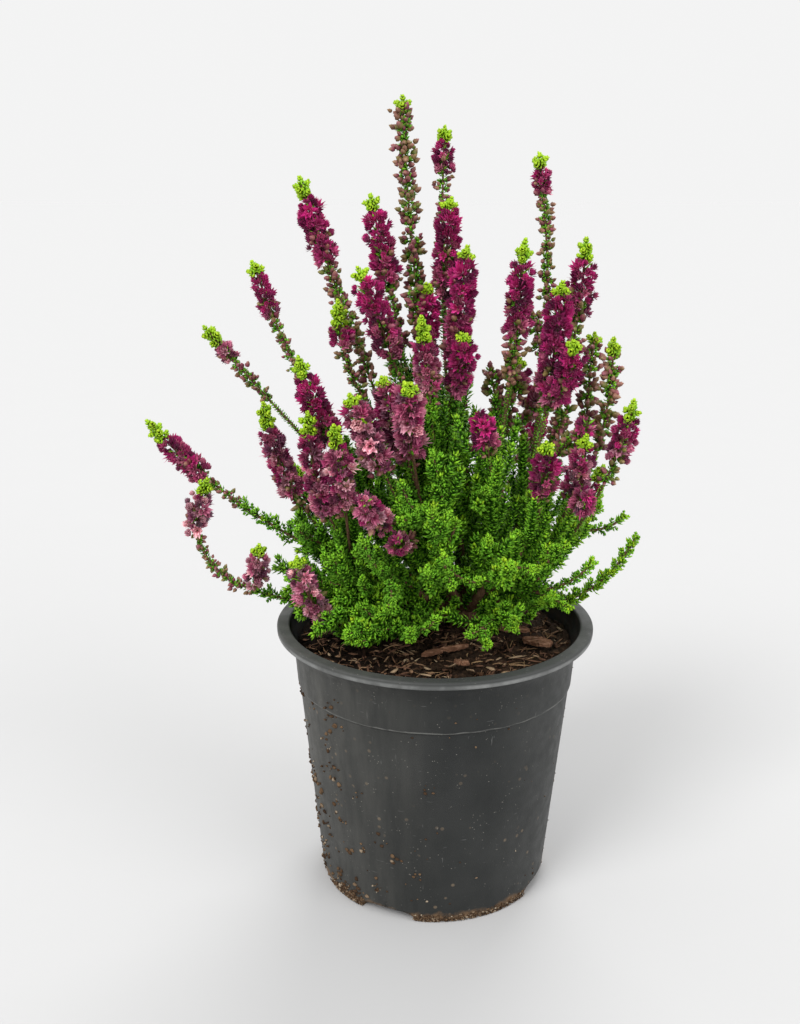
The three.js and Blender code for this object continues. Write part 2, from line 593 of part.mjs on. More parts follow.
function makePot() {
  const flangeInner = RIM_RADIUS - FLANGE_WIDTH;
  const under = POT_HEIGHT - WALL;
  const outside = lathe(
    [
      [0, 0],
      [FOOT_RADIUS, 0],
      [FOOT_TOP_RADIUS, FOOT_HEIGHT],
      [BODY_TOP_RADIUS, BAND_BOTTOM],
      [BAND_RADIUS, BAND_BOTTOM + 0.5],
      [BAND_TOP_RADIUS, FLARE_BOTTOM],
      [flangeInner + WALL * 0.7, FLARE_TOP],
      [flangeInner + WALL, under],
      [RIM_RADIUS - WALL, under],
      [RIM_RADIUS - WALL, POT_HEIGHT - LIP_HEIGHT],
      [RIM_RADIUS, POT_HEIGHT - LIP_HEIGHT],
      [RIM_RADIUS, POT_HEIGHT - LIP_ROUND],
      [RIM_RADIUS - LIP_ROUND, POT_HEIGHT],
      [0, POT_HEIGHT],
    ],
    POT_SIDES,
  );
  const hollow = lathe(
    [
      [0, FLOOR],
      [wallRadius(FLOOR) - WALL, FLOOR],
      [BODY_TOP_RADIUS - WALL, BAND_BOTTOM],
      [BAND_TOP_RADIUS - WALL, FLARE_BOTTOM],
      [flangeInner - WALL * 0.3, FLARE_TOP],
      [flangeInner, POT_HEIGHT],
      [flangeInner, POT_HEIGHT + 5],
      [0, POT_HEIGHT + 5],
    ],
    POT_SIDES,
  );
  let cavity = solidOf(hollow);
  let pot = solidOf(outside);
  for (let i = 0; i < POCKETS; i++) {
    cavity = cavity.subtract(pocketBlock(i, WALL, -1, POCKET_HEIGHT + WALL));
  }
  pot = pot.subtract(cavity);
  for (let i = 0; i < POCKETS; i++) {
    const drain = new THREE.BoxGeometry(DRAIN_LENGTH, DRAIN_WIDTH, 4);
    drain.translate(POCKET_BACK + 3.5, 0, POCKET_HEIGHT + 1);
    drain.rotateZ(radians(POCKET_FIRST_DEG + (i * 360) / POCKETS));
    pot = pot.subtract(pocketBlock(i, 0, -1, POCKET_HEIGHT)).subtract(solidOf(drain));
  }
  return pot;
}

// Height of the crumbly compost surface.
function soilHeight(x, y) {
  const lumps = 0.8 * Math.sin(0.33 * x + 1.3) * Math.cos(0.29 * y) + 0.5 * Math.sin(0.71 * x - 0.57 * y);
  const mound = 1.6 * Math.exp(-((x - CROWN[0]) ** 2 + (y - CROWN[1]) ** 2) / 500);
  return SOIL_LEVEL + lumps + mound - 0.8;
}

function makeSoil() {
  const level = (radius, height) =>
    Array.from({ length: SOIL_SIDES }, (_, k) => {
      const angle = (k * 2 * Math.PI) / SOIL_SIDES;
      const [x, y] = [radius * Math.cos(angle), radius * Math.sin(angle)];
      return [x, y, height ?? soilHeight(x, y)];
    });
  const bottom = FLOOR + FIT;
  const fitted = (outside) => (outside - WALL) * Math.cos(Math.PI / POT_SIDES) - FIT;
  const rings = [
    level(fitted(wallRadius(bottom)), bottom),
    level(fitted(BODY_TOP_RADIUS), BAND_BOTTOM),
    level(fitted(BAND_TOP_RADIUS) - 1),
    ...SOIL_RINGS.map((radius) => level(radius)),
  ];
  let soil = solidOf(skinOver([0, 0, bottom], rings, [0, 0, soilHeight(0, 0)]));
  for (let i = 0; i < POCKETS; i++) {
    soil = soil.subtract(pocketBlock(i, WALL + FIT, -1, POCKET_HEIGHT + WALL + FIT));
  }
  const hole = lathe(
    [
      [0, 0],
      [CROWN_HOLE_RADIUS, 0],
      [CROWN_HOLE_RADIUS, 60],
      [0, 60],
    ],
    12,
  );
  hole.translate(CROWN[0], CROWN[1], SOIL_LEVEL - CROWN_DEPTH - FIT);
  return soil.subtract(solidOf(hole));
}

// A broken flat piece of bark that lies on the compost.
function makeChip({ length: long, width, at, turn, slope }) {
  const [a, b] = [long / 2, width / 2];
  const outline = new THREE.Shape([
    new THREE.Vector2(-a, -b * 0.35),
    new THREE.Vector2(-a * 0.6, -b),
    new THREE.Vector2(a * 0.5, -b * 0.85),
    new THREE.Vector2(a, -b * 0.2),
    new THREE.Vector2(a * 0.75, b * 0.75),
    new THREE.Vector2(-a * 0.2, b),
    new THREE.Vector2(-a * 0.85, b * 0.55),
  ]);
  const chip = new THREE.ExtrudeGeometry(outline, { depth: CHIP_THICKNESS, bevelEnabled: false });
  chip.rotateY(radians(-slope)).rotateZ(radians(turn)).translate(at[0], at[1], 0);
  const corners = chip.attributes.position;
  let lift = 0;
  for (let i = 0; i < corners.count; i++) {
    const [x, y, z] = [corners.getX(i), corners.getY(i), corners.getZ(i)];
    lift = Math.max(lift, soilHeight(x, y) - z);
  }
  return solidOf(chip.translate(0, 0, lift + FIT + 0.25));
}

// The root crown, a short gnarled trunk that the branches leave.
function makeTrunk() {
  const trunk = lathe(
    [
      [0, -CROWN_DEPTH],
      [3.2, -CROWN_DEPTH],
      [4.8, -CROWN_DEPTH + 8],
      [5.3, 0],
      [4.9, 5],
      [3.9, 9],
      [0, 11],
    ],
    10,
  );
  return solidOf(trunk.translate(CROWN[0], CROWN[1], SOIL_LEVEL));
}

// ---------------------------------------------------------------- assembly

const group = new THREE.Group();
group.name = "potted_heather";

function addPiece(name, solid, colour, roughness) {
  const material = new THREE.MeshStandardMaterial({ color: colour, roughness, metalness: 0 });
  const mesh = new THREE.Mesh(geometryOf(solid), material);
  mesh.name = name;
  group.add(mesh);
}

const numbered = (base, index) => base + String(index + 1).padStart(2, "0");

addPiece("pot", makePot(), 0x3d4244, 0.45);
addPiece("soil", makeSoil(), 0x33231a, 0.95);
barkChips.forEach((chip, i) => addPiece(numbered("bark_chip_", i), makeChip(chip), chip.colour, 0.9));

const trunk = mainBranches.map(makeMainBranch);
for (const branch of trunk) {
  probes.push(...probesAlong(branch, 0, branch.length, MAIN_RADIUS + 0.5, "woody_stems", true));
}
const flowering = floweringStems.map((stem, i) => {
  const name = numbered("flower_spray_", i);
  return { name, ...placeStem(stem, name, i * 0.7, trunk) };
});
const leafy = leafyStems.map((stem, i) => {
  const name = numbered("leafy_stem_", i);
  return { name, ...placeLeafyStem(stem, name, i * 0.9 + 0.3, trunk) };
});

seed = 13;
const carriers = leafy
  .filter((stem) => !stem.plain)
  .flatMap((stem) => [stem, ...stem.branches].map((carrier) => ({ stem, carrier })));
const shootCounts = carriers.map(({ carrier }) =>
  Math.round((carrier.path.length - carrier.from) / SHOOT_SPACING),
);
for (let index = 0; index < Math.max(...shootCounts); index++) {
  carriers.forEach(({ stem, carrier }, i) => {
    if (index >= shootCounts[i]) return;
    const shoot = placeSideShoot(carrier, stem.name, index, shootCounts[i]);
    if (shoot) stem.branches.push(shoot);
  });
}

const wood = [
  ...trunk.map((branch) => woodSolid(branch, branch.length, MAIN_RADIUS, MAIN_TAPER)),
  ...[...flowering, ...leafy].map(({ path, from }) => woodSolid(path, from - SEAT, WOOD_RADIUS, WOOD_TAPER)),
];
addPiece("woody_stems", joined([makeTrunk(), ...wood]), 0x4a3526, 0.85);
for (const stem of flowering) {
  addPiece(stem.name, joined([stem, ...stem.branches].map(stemSolid)), 0xa01f5c, 0.7);
}
for (const stem of leafy) {
  addPiece(stem.name, joined([stem, ...stem.branches].map(stemSolid)), 0x4f8f1f, 0.7);
}

export default group;
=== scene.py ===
import math

import bmesh
import bpy
import numpy as np
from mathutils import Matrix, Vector, noise


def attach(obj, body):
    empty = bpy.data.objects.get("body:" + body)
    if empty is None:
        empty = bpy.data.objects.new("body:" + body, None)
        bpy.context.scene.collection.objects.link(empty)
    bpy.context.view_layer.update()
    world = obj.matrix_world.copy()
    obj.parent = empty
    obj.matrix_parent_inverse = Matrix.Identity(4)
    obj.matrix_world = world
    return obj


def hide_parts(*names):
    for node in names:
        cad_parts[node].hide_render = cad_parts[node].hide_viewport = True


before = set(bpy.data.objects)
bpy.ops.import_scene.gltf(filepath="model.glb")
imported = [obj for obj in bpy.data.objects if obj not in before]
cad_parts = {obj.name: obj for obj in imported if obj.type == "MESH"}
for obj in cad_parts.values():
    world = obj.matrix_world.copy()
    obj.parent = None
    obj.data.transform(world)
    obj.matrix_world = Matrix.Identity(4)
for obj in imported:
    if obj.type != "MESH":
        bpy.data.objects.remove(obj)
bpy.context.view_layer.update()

# Common heather in a plastic nursery pot. Sizes are millimetres; meshes are built in metres. The
# growth rule is the one that the part's solids were grown by, so the fine stems, leaves and
# florets stand where the solids do.
MM = 0.001

# ---------------------------------------------------------------- driving dimensions

RIM_RADIUS, POT_HEIGHT, FLANGE_WIDTH = 60, 103.7, 4.8
BAND_BOTTOM, BAND_RADIUS, BAND_TOP_RADIUS, BODY_TOP_RADIUS = 80.5, 52.6, 53.7, 51.9
FOOT_HEIGHT, FOOT_TOP_RADIUS, FOOT_RADIUS = 1.6, 44.2, 43.2
POCKETS, POCKET_FIRST_DEG, POCKET_HALF_DEG, POCKET_HEIGHT, POCKET_BACK = 4, -113, 14, 4, 33
POCKET_STEPS, WALL_STEPS = 14, 38
SOIL_LEVEL, SOIL_RADIUS, FIT = 96, 52.2, 0.3
CROWN = np.array([12.0, 13.0, 100.0])
CROWN_SPREAD, CROWN_RISE = 2.6, 5
MAIN_RADIUS, MAIN_TAPER, WOOD_RADIUS = 1.5, 0.02, 1.0
FORKS, FORK_HIGH = (0.4, 0.55, 0.7, 0.85, 0.97), 0.15
SHOOT_ROOT, SEAT, PATH_STEPS, CLEAR, PROBE_STEP = 3.6, 0.3, 24, 0.45, 2.4
POT_INSIDE, ABOVE_SOIL, ABOVE_RIM, NEAR = 48, 2.5, 0.6, 13
GOLDEN = 2.399963
STEM_TRIES, STEM_STEP, EASY_TRIES = 90, 1.1, 40
BARE_FROM, BARE_TO, ARM_STEP, SWAY = 5, 60, 1.4, 0.5
REACH = {"green": 2.8, "florets": 5.0, "buds": 3.7, "leaf": 2.9, "stalk": 0.95}
SHOOT_SPACING, SHOOT_LENGTH, SHOOT_SHORTEST, SHOOT_SPREAD = 12, 28, 8, 0.72
SHOOT_TRIES, SHOOT_VARIES, SHOOT_TURN, SHOOT_SEED = 8, 0.4, 1.6, 13
WHORL, TUFT_SPACING, TIP_SPACING, FLORET_STEP, BUD_SPACING = 4, 2.5, 1.9, 0.35, 2.8
SPRIG_SPACING, SPRIG_LENGTH, LOW_SPRIG_LENGTH, SPRIG_CARRIER = 5.5, 15, 34, 26
DOME_CENTRE, DOME_RADIUS, DOME_HEIGHT = np.array([2.0, 4.0]), 76, 96
LEFT_OF, GAP_FROM, GAP_TO, GAP_TOP = 12, 9, 17, 124
CHIP_THICKNESS = 1.6
UP = np.array([0.0, 0.0, 1.0])

MAIN_BRANCHES = [
    (9, 18, 142), (0, 12, 136), (-10, 14, 128), (-22, 10, 118), (-30, 0, 112),
    (-8, -6, 118), (5, -6, 122), (18, -4, 117), (20, 14, 138), (30, 10, 132),
    (38, 8, 118), (12, 30, 126), (30, 28, 118), (-8, 28, 118), (22, 36, 109),
]


def spray(tip, through, green, florets, buds, *heads, **more):
    """A flowering stem: its tip, half-way point, and the lengths of its stretches from the tip."""
    return dict(tip=tip, through=through, green=green, florets=florets, buds=buds, heads=heads, **more)


def head(share, *rest, **more):
    """A second head, which leaves its stem at a share of the stem's length."""
    return dict(spray(*rest, **more), share=share)


FLOWERING_STEMS = [
    spray([-13, 26, 292], [-5, 22, 205], 4, 0, 66, head(0.4, [-4, 12, 227], [-4, 16, 214], 3, 20, 0),
          reach=4.6),
    spray([2, 38, 282], [3, 30, 200], 4, 10, 40, head(0.44, [4, 18, 257], [3, 22, 230], 3, 30, 14),
          reach=3.2, fat=4),
    spray([10, -4, 241], [5, 4, 174], 4, 34, 12, head(0.5, [9, -12, 212], [9, -8, 201], 2, 20, 4)),
    spray([-5, -14, 218], [0, -5, 165], 9, 16, 6, reach=4.6, leaf=18),
    spray([-24, 14, 258], [-9, 15, 186], 5, 25, 25),
    spray([-27, -8, 234], [-6, 0, 172], 4, 26, 12, fat=5.6),
    spray([-49, 12, 264], [-26, 12, 197], 7, 22, 46,
          head(0.32, [-35, 0, 222], [-31, 4, 196], 9, 5, 28, reach=3), reach=4),
    spray([-66, 8, 235], [-45, 10, 182], 4, 14, 30, reach=3.3, fat=3.8),
    spray([-86, 16, 211], [-42, 18, 160], 8, 6, 22, reach=3.2, fat=3.8),
    spray([-49, -8, 203], [-26, -2, 150], 7, 24, 10, fat=5.4),
    spray([-63, 0, 185], [-40, 4, 133], 9, 25, 12),
    spray([-45, -16, 185], [-32, -8, 134], 8, 28, 6, head(0.42, [-35, -27, 183], [-33, -19, 162], 8, 24, 6)),
    spray([-106, 2, 178], [-50, 8, 129], 9, 18, 20, reach=2.6, leaf=34),
    spray([-84, -6, 158], [-98, -4, 127], 6, 13, 36, head(0.52, [-66, -4, 132], [-67, -4, 122], 3, 11, 2),
          reach=2.6, leaf=26),
    spray([-49, -24, 134], [-40, -18, 108], 3, 22, 4, leaf=18),
    spray([-19, -12, 197], [-6, -6, 154], 3, 26, 6,
          head(0.5, [-9, -31, 198], [-9, -20, 180], 3, 24, 4, fat=5.6), fat=5.6),
    spray([-28, -20, 193], [-10, -8, 147], 3, 24, 6,
          head(0.45, [-23, -36, 162], [-18, -24, 150], 2, 17, 2, dull=True), fat=5.6),
    spray([36, 18, 272], [39, 17, 188], 4, 8, 42, reach=3.4, fat=3.6),
    spray([30, -2, 243], [24, 4, 172], 7, 24, 20, reach=4),
    spray([53, 12, 243], [43, 14, 171], 7, 18, 34, reach=4),
    spray([43, -4, 229], [36, 4, 165], 4, 34, 10, head(0.58, [47, -14, 210], [46, -8, 198], 3, 22, 2),
          fat=5.4),
    spray([64, 8, 208], [54, 10, 150], 6, 0, 36, head(0.42, [59, 23, 208], [57, 18, 184], 3, 0, 36, reach=4),
          reach=4),
    spray([70, -6, 188], [54, 2, 142], 7, 14, 12),
    spray([38, -22, 176], [34, -8, 137], 4, 15, 6),
    spray([53, -10, 176], [43, -2, 136], 4, 16, 6,
          head(0.6, [53, -22, 159], [51, -14, 152], 2, 8, 0, dull=True)),
    spray([15, -19, 187], [21, -7, 142], 3, 9, 6, dull=True),
    spray([31, 18, 199], [20, 17, 147], 2, 5, 30, head(0.52, [40, 28, 189], [35, 24, 178], 2, 8, 16, reach=4),
          reach=4.2),
    spray([-30, 60, 172], [-12, 38, 132], 7, 22, 14),
    spray([8, 66, 188], [10, 42, 140], 7, 24, 16),
    spray([44, 58, 178], [30, 38, 135], 6, 22, 16),
    spray([68, 44, 152], [42, 32, 120], 7, 18, 12),
    spray([-58, 44, 152], [-26, 32, 120], 7, 20, 12),
    spray([26, 78, 142], [22, 50, 114], 7, 18, 12),
]

# Leafy stems: tip, half-way point, and an arm given by where it leaves and its tip. One without
# an arm has no side shoots either.
LEAFY_STEMS = [
    ([-14, 8, 208], [-4, 10, 151], 0.4, [-22, -2, 176]),
    ([0, -3, 201], [4, 2, 149], 0.4, [5, -14, 170]),
    ([-2, -22, 174], [5, -9, 136], 0.35, [-12, -34, 152]),
    ([12, -4, 171], [13, 4, 134], 0.4, [22, -18, 158]),
    ([24, 12, 176], [19, 13, 136], 0.4, [33, 4, 160]),
    ([45, 12, 161], [31, 13, 125], 0.4, [47, 28, 150]),
    ([62, 6, 149], [38, 10, 120], 0.3, [58, 24, 130]),
    ([74, -4, 138], [50, 4, 109], None, None),
    ([45, -16, 140], [30, -2, 114], 0.3, [48, -24, 117]),
    ([19, -28, 144], [16, -8, 118], 0.35, [34, -30, 134]),
    ([-1, -36, 157], [5, -12, 123], 0.35, [6, -44, 132]),
    ([-26, -30, 144], [-9, -12, 121], 0.35, [-14, -44, 126]),
    ([-31, 4, 168], [-10, 6, 127], 0.35, [-36, -12, 150]),
    ([-53, 0, 143], [-24, 6, 117], 0.35, [-46, 18, 138]),
    ([-38, -30, 136], [-15, -10, 113], 0.35, [-54, -14, 122]),
    ([-30, -40, 113], [-6, -16, 108], 0.4, [-8, -38, 110]),
    ([28, -32, 116], [21, -9, 109], 0.4, [12, -38, 112]),
    ([-8, 48, 160], [4, 32, 125], 0.35, [-18, 40, 140]),
    ([26, 50, 150], [20, 30, 120], 0.35, [42, 48, 134]),
    ([-40, 42, 134], [-10, 30, 114], 0.4, [-6, 62, 124]),
]

# Bark on the compost: length, width, centre, direction and slope in degrees.
BARK_CHIPS = [
    (17, 4.6, (29, 2), -24, 4),
    (14, 7, (39, -9), -48, 6),
    (17, 4.4, (10, -33), -82, 20),
    (19, 2.6, (4, -17), 22, 3),
]


# ---------------------------------------------------------------- paths

def unit(a):
    return a / np.linalg.norm(a, axis=-1, keepdims=True)


def column(a):
    return a[:, None]


def toward(a, b, angle):
    """Directions at the angles from a towards b, row by row."""
    return a * column(np.cos(angle)) + b * column(np.sin(angle))


def leaning(forward, u, v, angle, lean):
    """The direction that leans off a stem, at an angle round it."""
    return (u * math.cos(angle) + v * math.sin(angle)) * math.sin(lean) + forward * math.cos(lean)


class Path:
    """A smooth curve from a start through its half-way point to a tip."""

    def __init__(self, start, through, tip):
        start, through, tip = (np.asarray(p, float) for p in (start, through, tip))
        control = 2 * through - (start + tip) / 2
        t = column(np.arange(PATH_STEPS + 1) / PATH_STEPS)
        self.points = (1 - t) * (1 - t) * start + 2 * t * (1 - t) * control + t * t * tip
        steps = np.linalg.norm(np.diff(self.points, axis=0), axis=1)
        self.runs = np.concatenate([[0.0], np.cumsum(steps)])
        self.length = self.runs[-1]
        self.side = np.array([0.0, 1.0, 0.0] if abs(unit(tip - start)[1]) < 0.8 else [1.0, 0.0, 0.0])

    def at(self, s):
        s = np.asarray(s, float)
        i = 1 + np.searchsorted(self.runs[1:PATH_STEPS], s, side="left")
        share = (s - self.runs[i - 1]) / (self.runs[i] - self.runs[i - 1])
        low = self.points[i - 1]
        return low + (self.points[i] - low) * share[..., None]

    def forward(self, s):
        return unit(self.at(np.asarray(s) + 0.6) - self.at(np.asarray(s) - 0.6))

    def axes(self, s):
        """Centre, forward direction and the two directions across, at each of the lengths s."""
        f = self.forward(s)
        u = unit(self.side - f * (f @ self.side)[..., None])
        return self.at(s), f, u, np.cross(f, u)

    def around(self, s, angle):
        """Centre and forward direction at each length, and the direction out at each angle."""
        centre, f, u, v = self.axes(np.clip(s, 0, self.length))
        return centre, f, toward(u, v, angle)


# ---------------------------------------------------------------- growth, as in the part

class Probes:
    """Spheres along every placed stem, to keep the sprays clear of each other."""

    def __init__(self):
        self.rows = np.zeros((0, 6))

    @staticmethod
    def along(path, start, end, radius, node, wood=False):
        count = max(1, math.ceil((end - start) / PROBE_STEP))
        s = start + (end - start) * np.arange(count + 1) / count
        rest = np.tile([radius, node, float(wood)], (count + 1, 1))
        return np.hstack([path.at(s), rest])

    def add(self, found):
        self.rows = np.vstack([self.rows, found])

    def clear(self, found):
        centre, radius, wood = found[:, :3], found[:, 3], found[:, 5] > 0
        inside = np.sqrt(centre[:, 0] ** 2 + centre[:, 1] ** 2) < POT_INSIDE
        ground = np.where(inside, SOIL_LEVEL + ABOVE_SOIL, POT_HEIGHT + ABOVE_RIM)
        if np.any(~wood & (centre[:, 2] - radius < ground)):
            return False
        low, high = centre.min(0) - NEAR, centre.max(0) + NEAR
        near = self.rows[np.all((self.rows[:, :3] > low) & (self.rows[:, :3] < high), axis=1)]
        near = near[near[:, 4] != found[0, 4]]
        if not len(near):
            return True
        gap = np.linalg.norm(centre[:, None] - near[None, :, :3], axis=2)
        need = column(radius) + near[None, :, 3] + CLEAR
        both_wood = column(wood) & (near[None, :, 5] > 0)
        return bool(np.all((gap > need) | both_wood))


probes = Probes()
WOOD_NODE = 0


def main_branch(end):
    end = np.array(end, float)
    lean = unit(end - CROWN)
    out = CROWN_SPREAD / max(0.05, math.hypot(lean[0], lean[1]))
    foot = CROWN + lean * np.array([out, out, CROWN_RISE])
    return Path(foot, foot + (end - foot) * np.array([0.56, 0.56, 0.44]), end)


trunk = [main_branch(end) for end in MAIN_BRANCHES]
fork_runs = np.array([share * branch.length for branch in trunk for share in FORKS])
fork_points = np.array([branch.at(share * branch.length) for branch in trunk for share in FORKS])
for branch in trunk:
    probes.add(Probes.along(branch, 0, branch.length, MAIN_RADIUS + 0.5, WOOD_NODE, True))


def path_from_fork(through, tip):
    whole = Path(CROWN, through, tip)
    cost = np.linalg.norm(fork_points - whole.at(fork_runs), axis=1) - FORK_HIGH * fork_runs
    best = int(np.argmin(cost))
    return Path(fork_points[best], whole.at((whole.length + fork_runs[best]) / 2), tip)


def reach_of(stem, kind):
    return stem.get({"florets": "fat", "buds": "reach"}.get(kind), REACH[kind])


def stretches_of(stem, path, carrier):
    """Kinds and lengths along a stem from its carrier to its tip, and where they start."""
    stretches, end = [], path.length
    for kind in ("green", "florets", "buds", "leaf"):
        if not stem.get(kind):
            continue
        start = max(carrier, end - stem[kind])
        stretches.insert(0, (kind, start, end))
        end = start
    forks = [h["share"] * path.length - SHOOT_ROOT for h in stem.get("heads", ())]
    if forks and min(forks) < end:
        stretches.insert(0, ("stalk", min(forks), end))
        end = min(forks)
    return stretches, end


def place_stem(stem, node, turn):
    tip, through = (np.array(stem[key], float) for key in ("tip", "through"))
    for attempt in range(STEM_TRIES):
        aside, angle = STEM_STEP * math.sqrt(attempt), attempt * GOLDEN
        shift = np.array([SWAY * aside * math.cos(angle), aside * math.sin(angle), 0])
        path = path_from_fork(through + shift * 0.6, tip + shift)
        stretches, start = stretches_of(stem, path, stem.get("bare", 0))
        found = [Probes.along(path, 0, start - SEAT, WOOD_RADIUS + 0.3, node, True)]
        for kind, low, high in stretches:
            found.append(Probes.along(path, low, high, reach_of(stem, kind) + 0.2, node))
        branches = []
        for i, h in enumerate(stem.get("heads", ())):
            foot = path.at(path.length * h["share"])
            arm = Path(foot, h["through"] + shift * 0.8, h["tip"] + shift)
            parts, bare_to = stretches_of(h, arm, 0)
            for kind, low, high in parts:
                found.append(Probes.along(arm, low, high, reach_of(h, kind) + 0.2, node))
            found.append(Probes.along(arm, 0, bare_to, WOOD_RADIUS + 0.2, node))
            branches.append(dict(h, path=arm, stretches=parts, start=0, turn=turn + i + 1))
        found = np.vstack(found)
        if probes.clear(found):
            probes.add(found)
            return dict(stem, path=path, stretches=stretches, start=start, turn=turn,
                        branches=branches, attempt=attempt)
    return None


def placed_branch(path, node, turn):
    """A leafy side branch on a path, or None where it would meet another stem."""
    found = Probes.along(path, 2.5, path.length, REACH["leaf"] + 0.2, node)
    if not probes.clear(found):
        return None
    probes.add(found)
    return dict(path=path, stretches=[("leaf", 0, path.length)], start=0, turn=turn)


def place_arm(stem, share, end, node):
    start = stem["start"] + share * (stem["path"].length - stem["start"])
    origin, forward = stem["path"].at(start), stem["path"].forward(start)
    for attempt in range(EASY_TRIES):
        aside, angle = ARM_STEP * math.sqrt(attempt), attempt * GOLDEN
        tip = end + np.array([aside * math.cos(angle), aside * math.sin(angle), 0.3 * aside])
        chord = tip - origin
        path = Path(origin, origin + chord * 0.5 + forward * np.linalg.norm(chord) * 0.08, tip)
        arm = placed_branch(path, node, stem["turn"] + 1)
        if arm:
            return [arm]
    return []


def place_leafy_stem(tip, through, share, arm_tip, node, turn):
    for bare in range(BARE_FROM, BARE_TO, 2):
        before = probes.rows
        placed = place_stem(dict(tip=tip, through=through, leaf=math.inf, bare=bare), node, turn)
        if placed and placed["attempt"] < EASY_TRIES:
            if arm_tip:
                placed["branches"] = place_arm(placed, share, np.array(arm_tip, float), node)
            return placed
        probes.rows = before
    return None


lcg = SHOOT_SEED


def varied():
    """The next seeded factor round 1."""
    global lcg
    lcg = (lcg * 1664525 + 1013904223) & 0xFFFFFFFF
    return 1 + SHOOT_VARIES * (lcg / 4294967296 - 0.5)


def place_side_shoot(stem, node, index, count):
    height = (index + 0.35) / count
    path = stem["path"]
    s = stem["start"] + 2 + height * (path.length - stem["start"] - 7)
    start, forward, u, v = path.axes(s)
    full = (SHOOT_LENGTH - (SHOOT_LENGTH - SHOOT_SHORTEST) * height) * varied()
    spread = SHOOT_SPREAD * varied()
    for attempt in range(SHOOT_TRIES):
        reach = max(SHOOT_SHORTEST, full * (1 - 0.1 * attempt))
        angle = (index + attempt * SHOOT_TURN) * GOLDEN + stem["turn"] * 3
        heading = leaning(forward, u, v, angle, spread)
        through = start + heading * (reach * 0.52)
        tip = through + heading * (reach * 0.3) + np.array([0, 0, reach * 0.2])
        shoot = placed_branch(Path(start, through, tip), node, stem["turn"] + index)
        if shoot:
            return [shoot]
    return []


def grow():
    flowers = [place_stem(stem, i + 1, i * 0.7) for i, stem in enumerate(FLOWERING_STEMS)]
    first = len(flowers) + 1
    leafy = [place_leafy_stem(*stem, first + i, i * 0.9 + 0.3) for i, stem in enumerate(LEAFY_STEMS)]
    carriers = [(i, c) for i, stem in enumerate(leafy) if LEAFY_STEMS[i][3]
                for c in [stem] + stem["branches"]]
    counts = [math.floor((c["path"].length - c["start"]) / SHOOT_SPACING + 0.5) for _, c in carriers]
    for index in range(max(counts)):
        for (i, carrier), count in zip(carriers, counts):
            if index < count:
                leafy[i]["branches"] += place_side_shoot(carrier, first + i, index, count)
    return flowers, leafy


flowers, leafy = grow()


# ---------------------------------------------------------------- meshes

class Shape:
    """A small form that is copied many times: points in millimetres and its triangles."""

    def __init__(self, points, triangles, along):
        self.points = np.array(points, float)
        self.triangles = np.array(triangles, int)
        self.along = np.array(along, float)  # 0 at the form's base, 1 at its tip


class Builder:
    """Gathers points and faces, with a material and a tone for each, into one mesh."""

    def __init__(self):
        self.points, self.faces, self.tones, self.kinds = [], [], [], []
        self.count = 0

    def add(self, points, faces, kind=0, tone=(0.5, 0.5, 0.5)):
        points, faces = np.asarray(points, float).reshape(-1, 3), np.asarray(faces, int)
        self.points.append(points)
        self.tones.append(np.broadcast_to(np.asarray(tone, float), (len(points), 3)))
        self.faces.append(faces + self.count)
        self.kinds.append(np.full(len(faces), kind))
        self.count += len(points)

    def copies(self, shape, origins, y, z, sizes, kind, variety, age):
        """Copies of a shape at the origins, each with its own directions, size and tone. Sizes
        are one for all directions, or a tuple of three."""
        n, v = len(origins), len(shape.points)
        if n == 0:
            return
        sizes = sizes if isinstance(sizes, tuple) else (sizes,) * 3
        sizes = np.stack([np.broadcast_to(size, n) for size in sizes], axis=-1)
        axes = np.stack([np.cross(y, z), y, z], axis=1)
        points = np.einsum("nvi,nij->nvj", shape.points[None] * sizes[:, None], axes) + origins[:, None]
        tone = np.empty((n, v, 3))
        tone[..., 0] = column(np.broadcast_to(variety, n))
        tone[..., 1] = shape.along[None]
        tone[..., 2] = column(np.broadcast_to(age, n))
        faces = shape.triangles[None] + (np.arange(n) * v)[:, None, None]
        self.add(points, faces.reshape(-1, 3), kind, tone.reshape(-1, 3))

    def piece(self, name, materials, slot, *nodes, smooth=True):
        points = np.concatenate(self.points) * MM
        faces = np.concatenate([np.c_[f, f[:, 2]] if f.shape[1] == 3 else f for f in self.faces])
        sizes = np.where(faces[:, 3] == faces[:, 2], 3, 4)
        corners = faces[np.arange(4)[None] < column(sizes)]
        mesh = bpy.data.meshes.new(name)
        mesh.vertices.add(len(points))
        mesh.vertices.foreach_set("co", points.ravel())
        mesh.loops.add(len(corners))
        mesh.loops.foreach_set("vertex_index", corners)
        mesh.polygons.add(len(faces))
        mesh.polygons.foreach_set("loop_start", np.concatenate([[0], np.cumsum(sizes)[:-1]]))
        mesh.polygons.foreach_set("material_index", np.concatenate(self.kinds))
        mesh.polygons.foreach_set("use_smooth", np.full(len(faces), smooth))
        mesh.update(calc_edges=True)
        tones = np.c_[np.concatenate(self.tones), np.ones(len(points))]
        mesh.attributes.new("tone", "FLOAT_COLOR", "POINT").data.foreach_set("color", tones.ravel())
        for material in materials:
            mesh.materials.append(material)
        piece = linked(bpy.data.objects.new(name, mesh))
        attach(piece, "root")
        if nodes:
            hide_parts(*nodes)
        return piece


def linked(thing):
    bpy.context.scene.collection.objects.link(thing)
    return thing


def turns(sides):
    return np.arange(sides) * 2 * math.pi / sides


def loop_faces(rings, sides):
    """Quads between rings of equally many points."""
    k = np.arange(sides)
    after = (k + 1) % sides
    ring = np.c_[k, after, sides + after, sides + k]
    return np.concatenate([ring + i * sides for i in range(rings - 1)])


